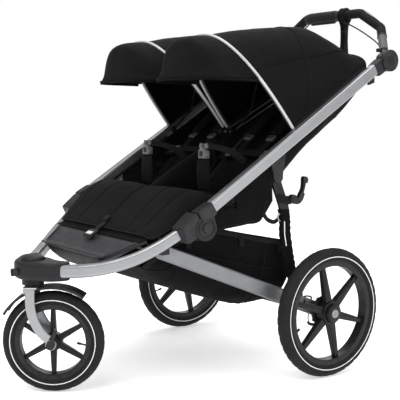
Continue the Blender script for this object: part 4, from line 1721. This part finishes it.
# fork: crown bolts and the axle nuts' washers
a = []
for sg in (1, -1):
    p0 = rot_sw((sg * 49.6, fy, fz))
    p1 = rot_sw((sg * 51.2, fy, fz))
    a.append(tube("w", [p0, p1], 12.5, "dark", 2, 28))
o = join("fork_end_washers", a)
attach(o, "fork_body")

# the basket's cloth lies flat between the lower tubes when the frame folds
for nm in ("basket_cloth", "basket_front_wall", "basket_rear_wall", "basket_seams_and_rim"):
    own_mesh(bpy.data.objects[nm])

# ------------------------------------------------------------------ stage, light, camera
fl = bpy.data.meshes.new("floor")
fl.from_pydata([(-60, -60, 0), (60, -60, 0), (60, 60, 0), (-60, 60, 0)], [], [(0, 1, 2, 3)])
floor = bpy.data.objects.new("floor", fl)
scene.collection.objects.link(floor)
fm, nt, b = _new("pale_floor")
b.inputs["Base Color"].default_value = (0.93, 0.93, 0.93, 1)
b.inputs["Roughness"].default_value = 0.9
b.inputs["Specular IOR Level"].default_value = 0.05
b.inputs["Emission Color"].default_value = (1, 1, 1, 1)
b.inputs["Emission Strength"].default_value = 0.44
fl.materials.append(fm)

w = bpy.data.worlds.new("studio")
scene.world = w
w.use_nodes = True
bg = w.node_tree.nodes["Background"]
bg.inputs["Color"].default_value = (1.0, 1.0, 1.0, 1)
wt = w.node_tree
lp = wt.nodes.new("ShaderNodeLightPath")
wt.links.new(_map(wt, lp.outputs["Is Camera Ray"], 0.0, 1.0, 0.62, 1.0), bg.inputs["Strength"])


def area(name, loc, target, size, power, col=(1, 1, 1)):
    l = bpy.data.lights.new(name, "AREA")
    l.shape = "RECTANGLE"
    l.size, l.size_y = size
    l.energy = power
    l.color = col
    o = bpy.data.objects.new(name, l)
    o.location = loc
    d = Vector(target) - Vector(loc)
    o.rotation_euler = d.to_track_quat("-Z", "Y").to_euler()
    scene.collection.objects.link(o)
    return o


area("key", (1.2, -2.6, 3.2), (0, -0.3, 0.5), (2.4, 2.0), 75)
area("side", (3.4, 0.4, 1.5), (0, -0.2, 0.5), (1.6, 2.2), 34)
area("top", (-0.4, 0.4, 3.6), (0, -0.1, 0.6), (2.8, 2.4), 60)
area("back", (-2.8, 2.2, 1.9), (0, 0, 0.7), (2.0, 2.0), 25)

cd = bpy.data.cameras.new("camera")
cd.sensor_width = 36.0
cd.lens = 898.739 * 36.0 / 400.0
cd.clip_end = 50
cam = bpy.data.objects.new("camera", cd)
CP = Vector((2303.0385 * S, -1850.0546 * S, 802.1326 * S))
r_, u_, b_ = Vector((0.5821661626, 0.8130698365, 0.0)), Vector((-0.08292995, 0.05937867648, 0.9947847989)), Vector((0.80882953838, -0.57913004885, 0.10199609714))
cam.matrix_world = Matrix(((r_.x, u_.x, b_.x, CP.x), (r_.y, u_.y, b_.y, CP.y), (r_.z, u_.z, b_.z, CP.z), (0, 0, 0, 1)))
scene.collection.objects.link(cam)
scene.camera = cam
scene.view_settings.view_transform = "Standard"
scene.view_settings.look = "None"
scene.view_settings.exposure = 0.0

bpy.context.view_layer.update()
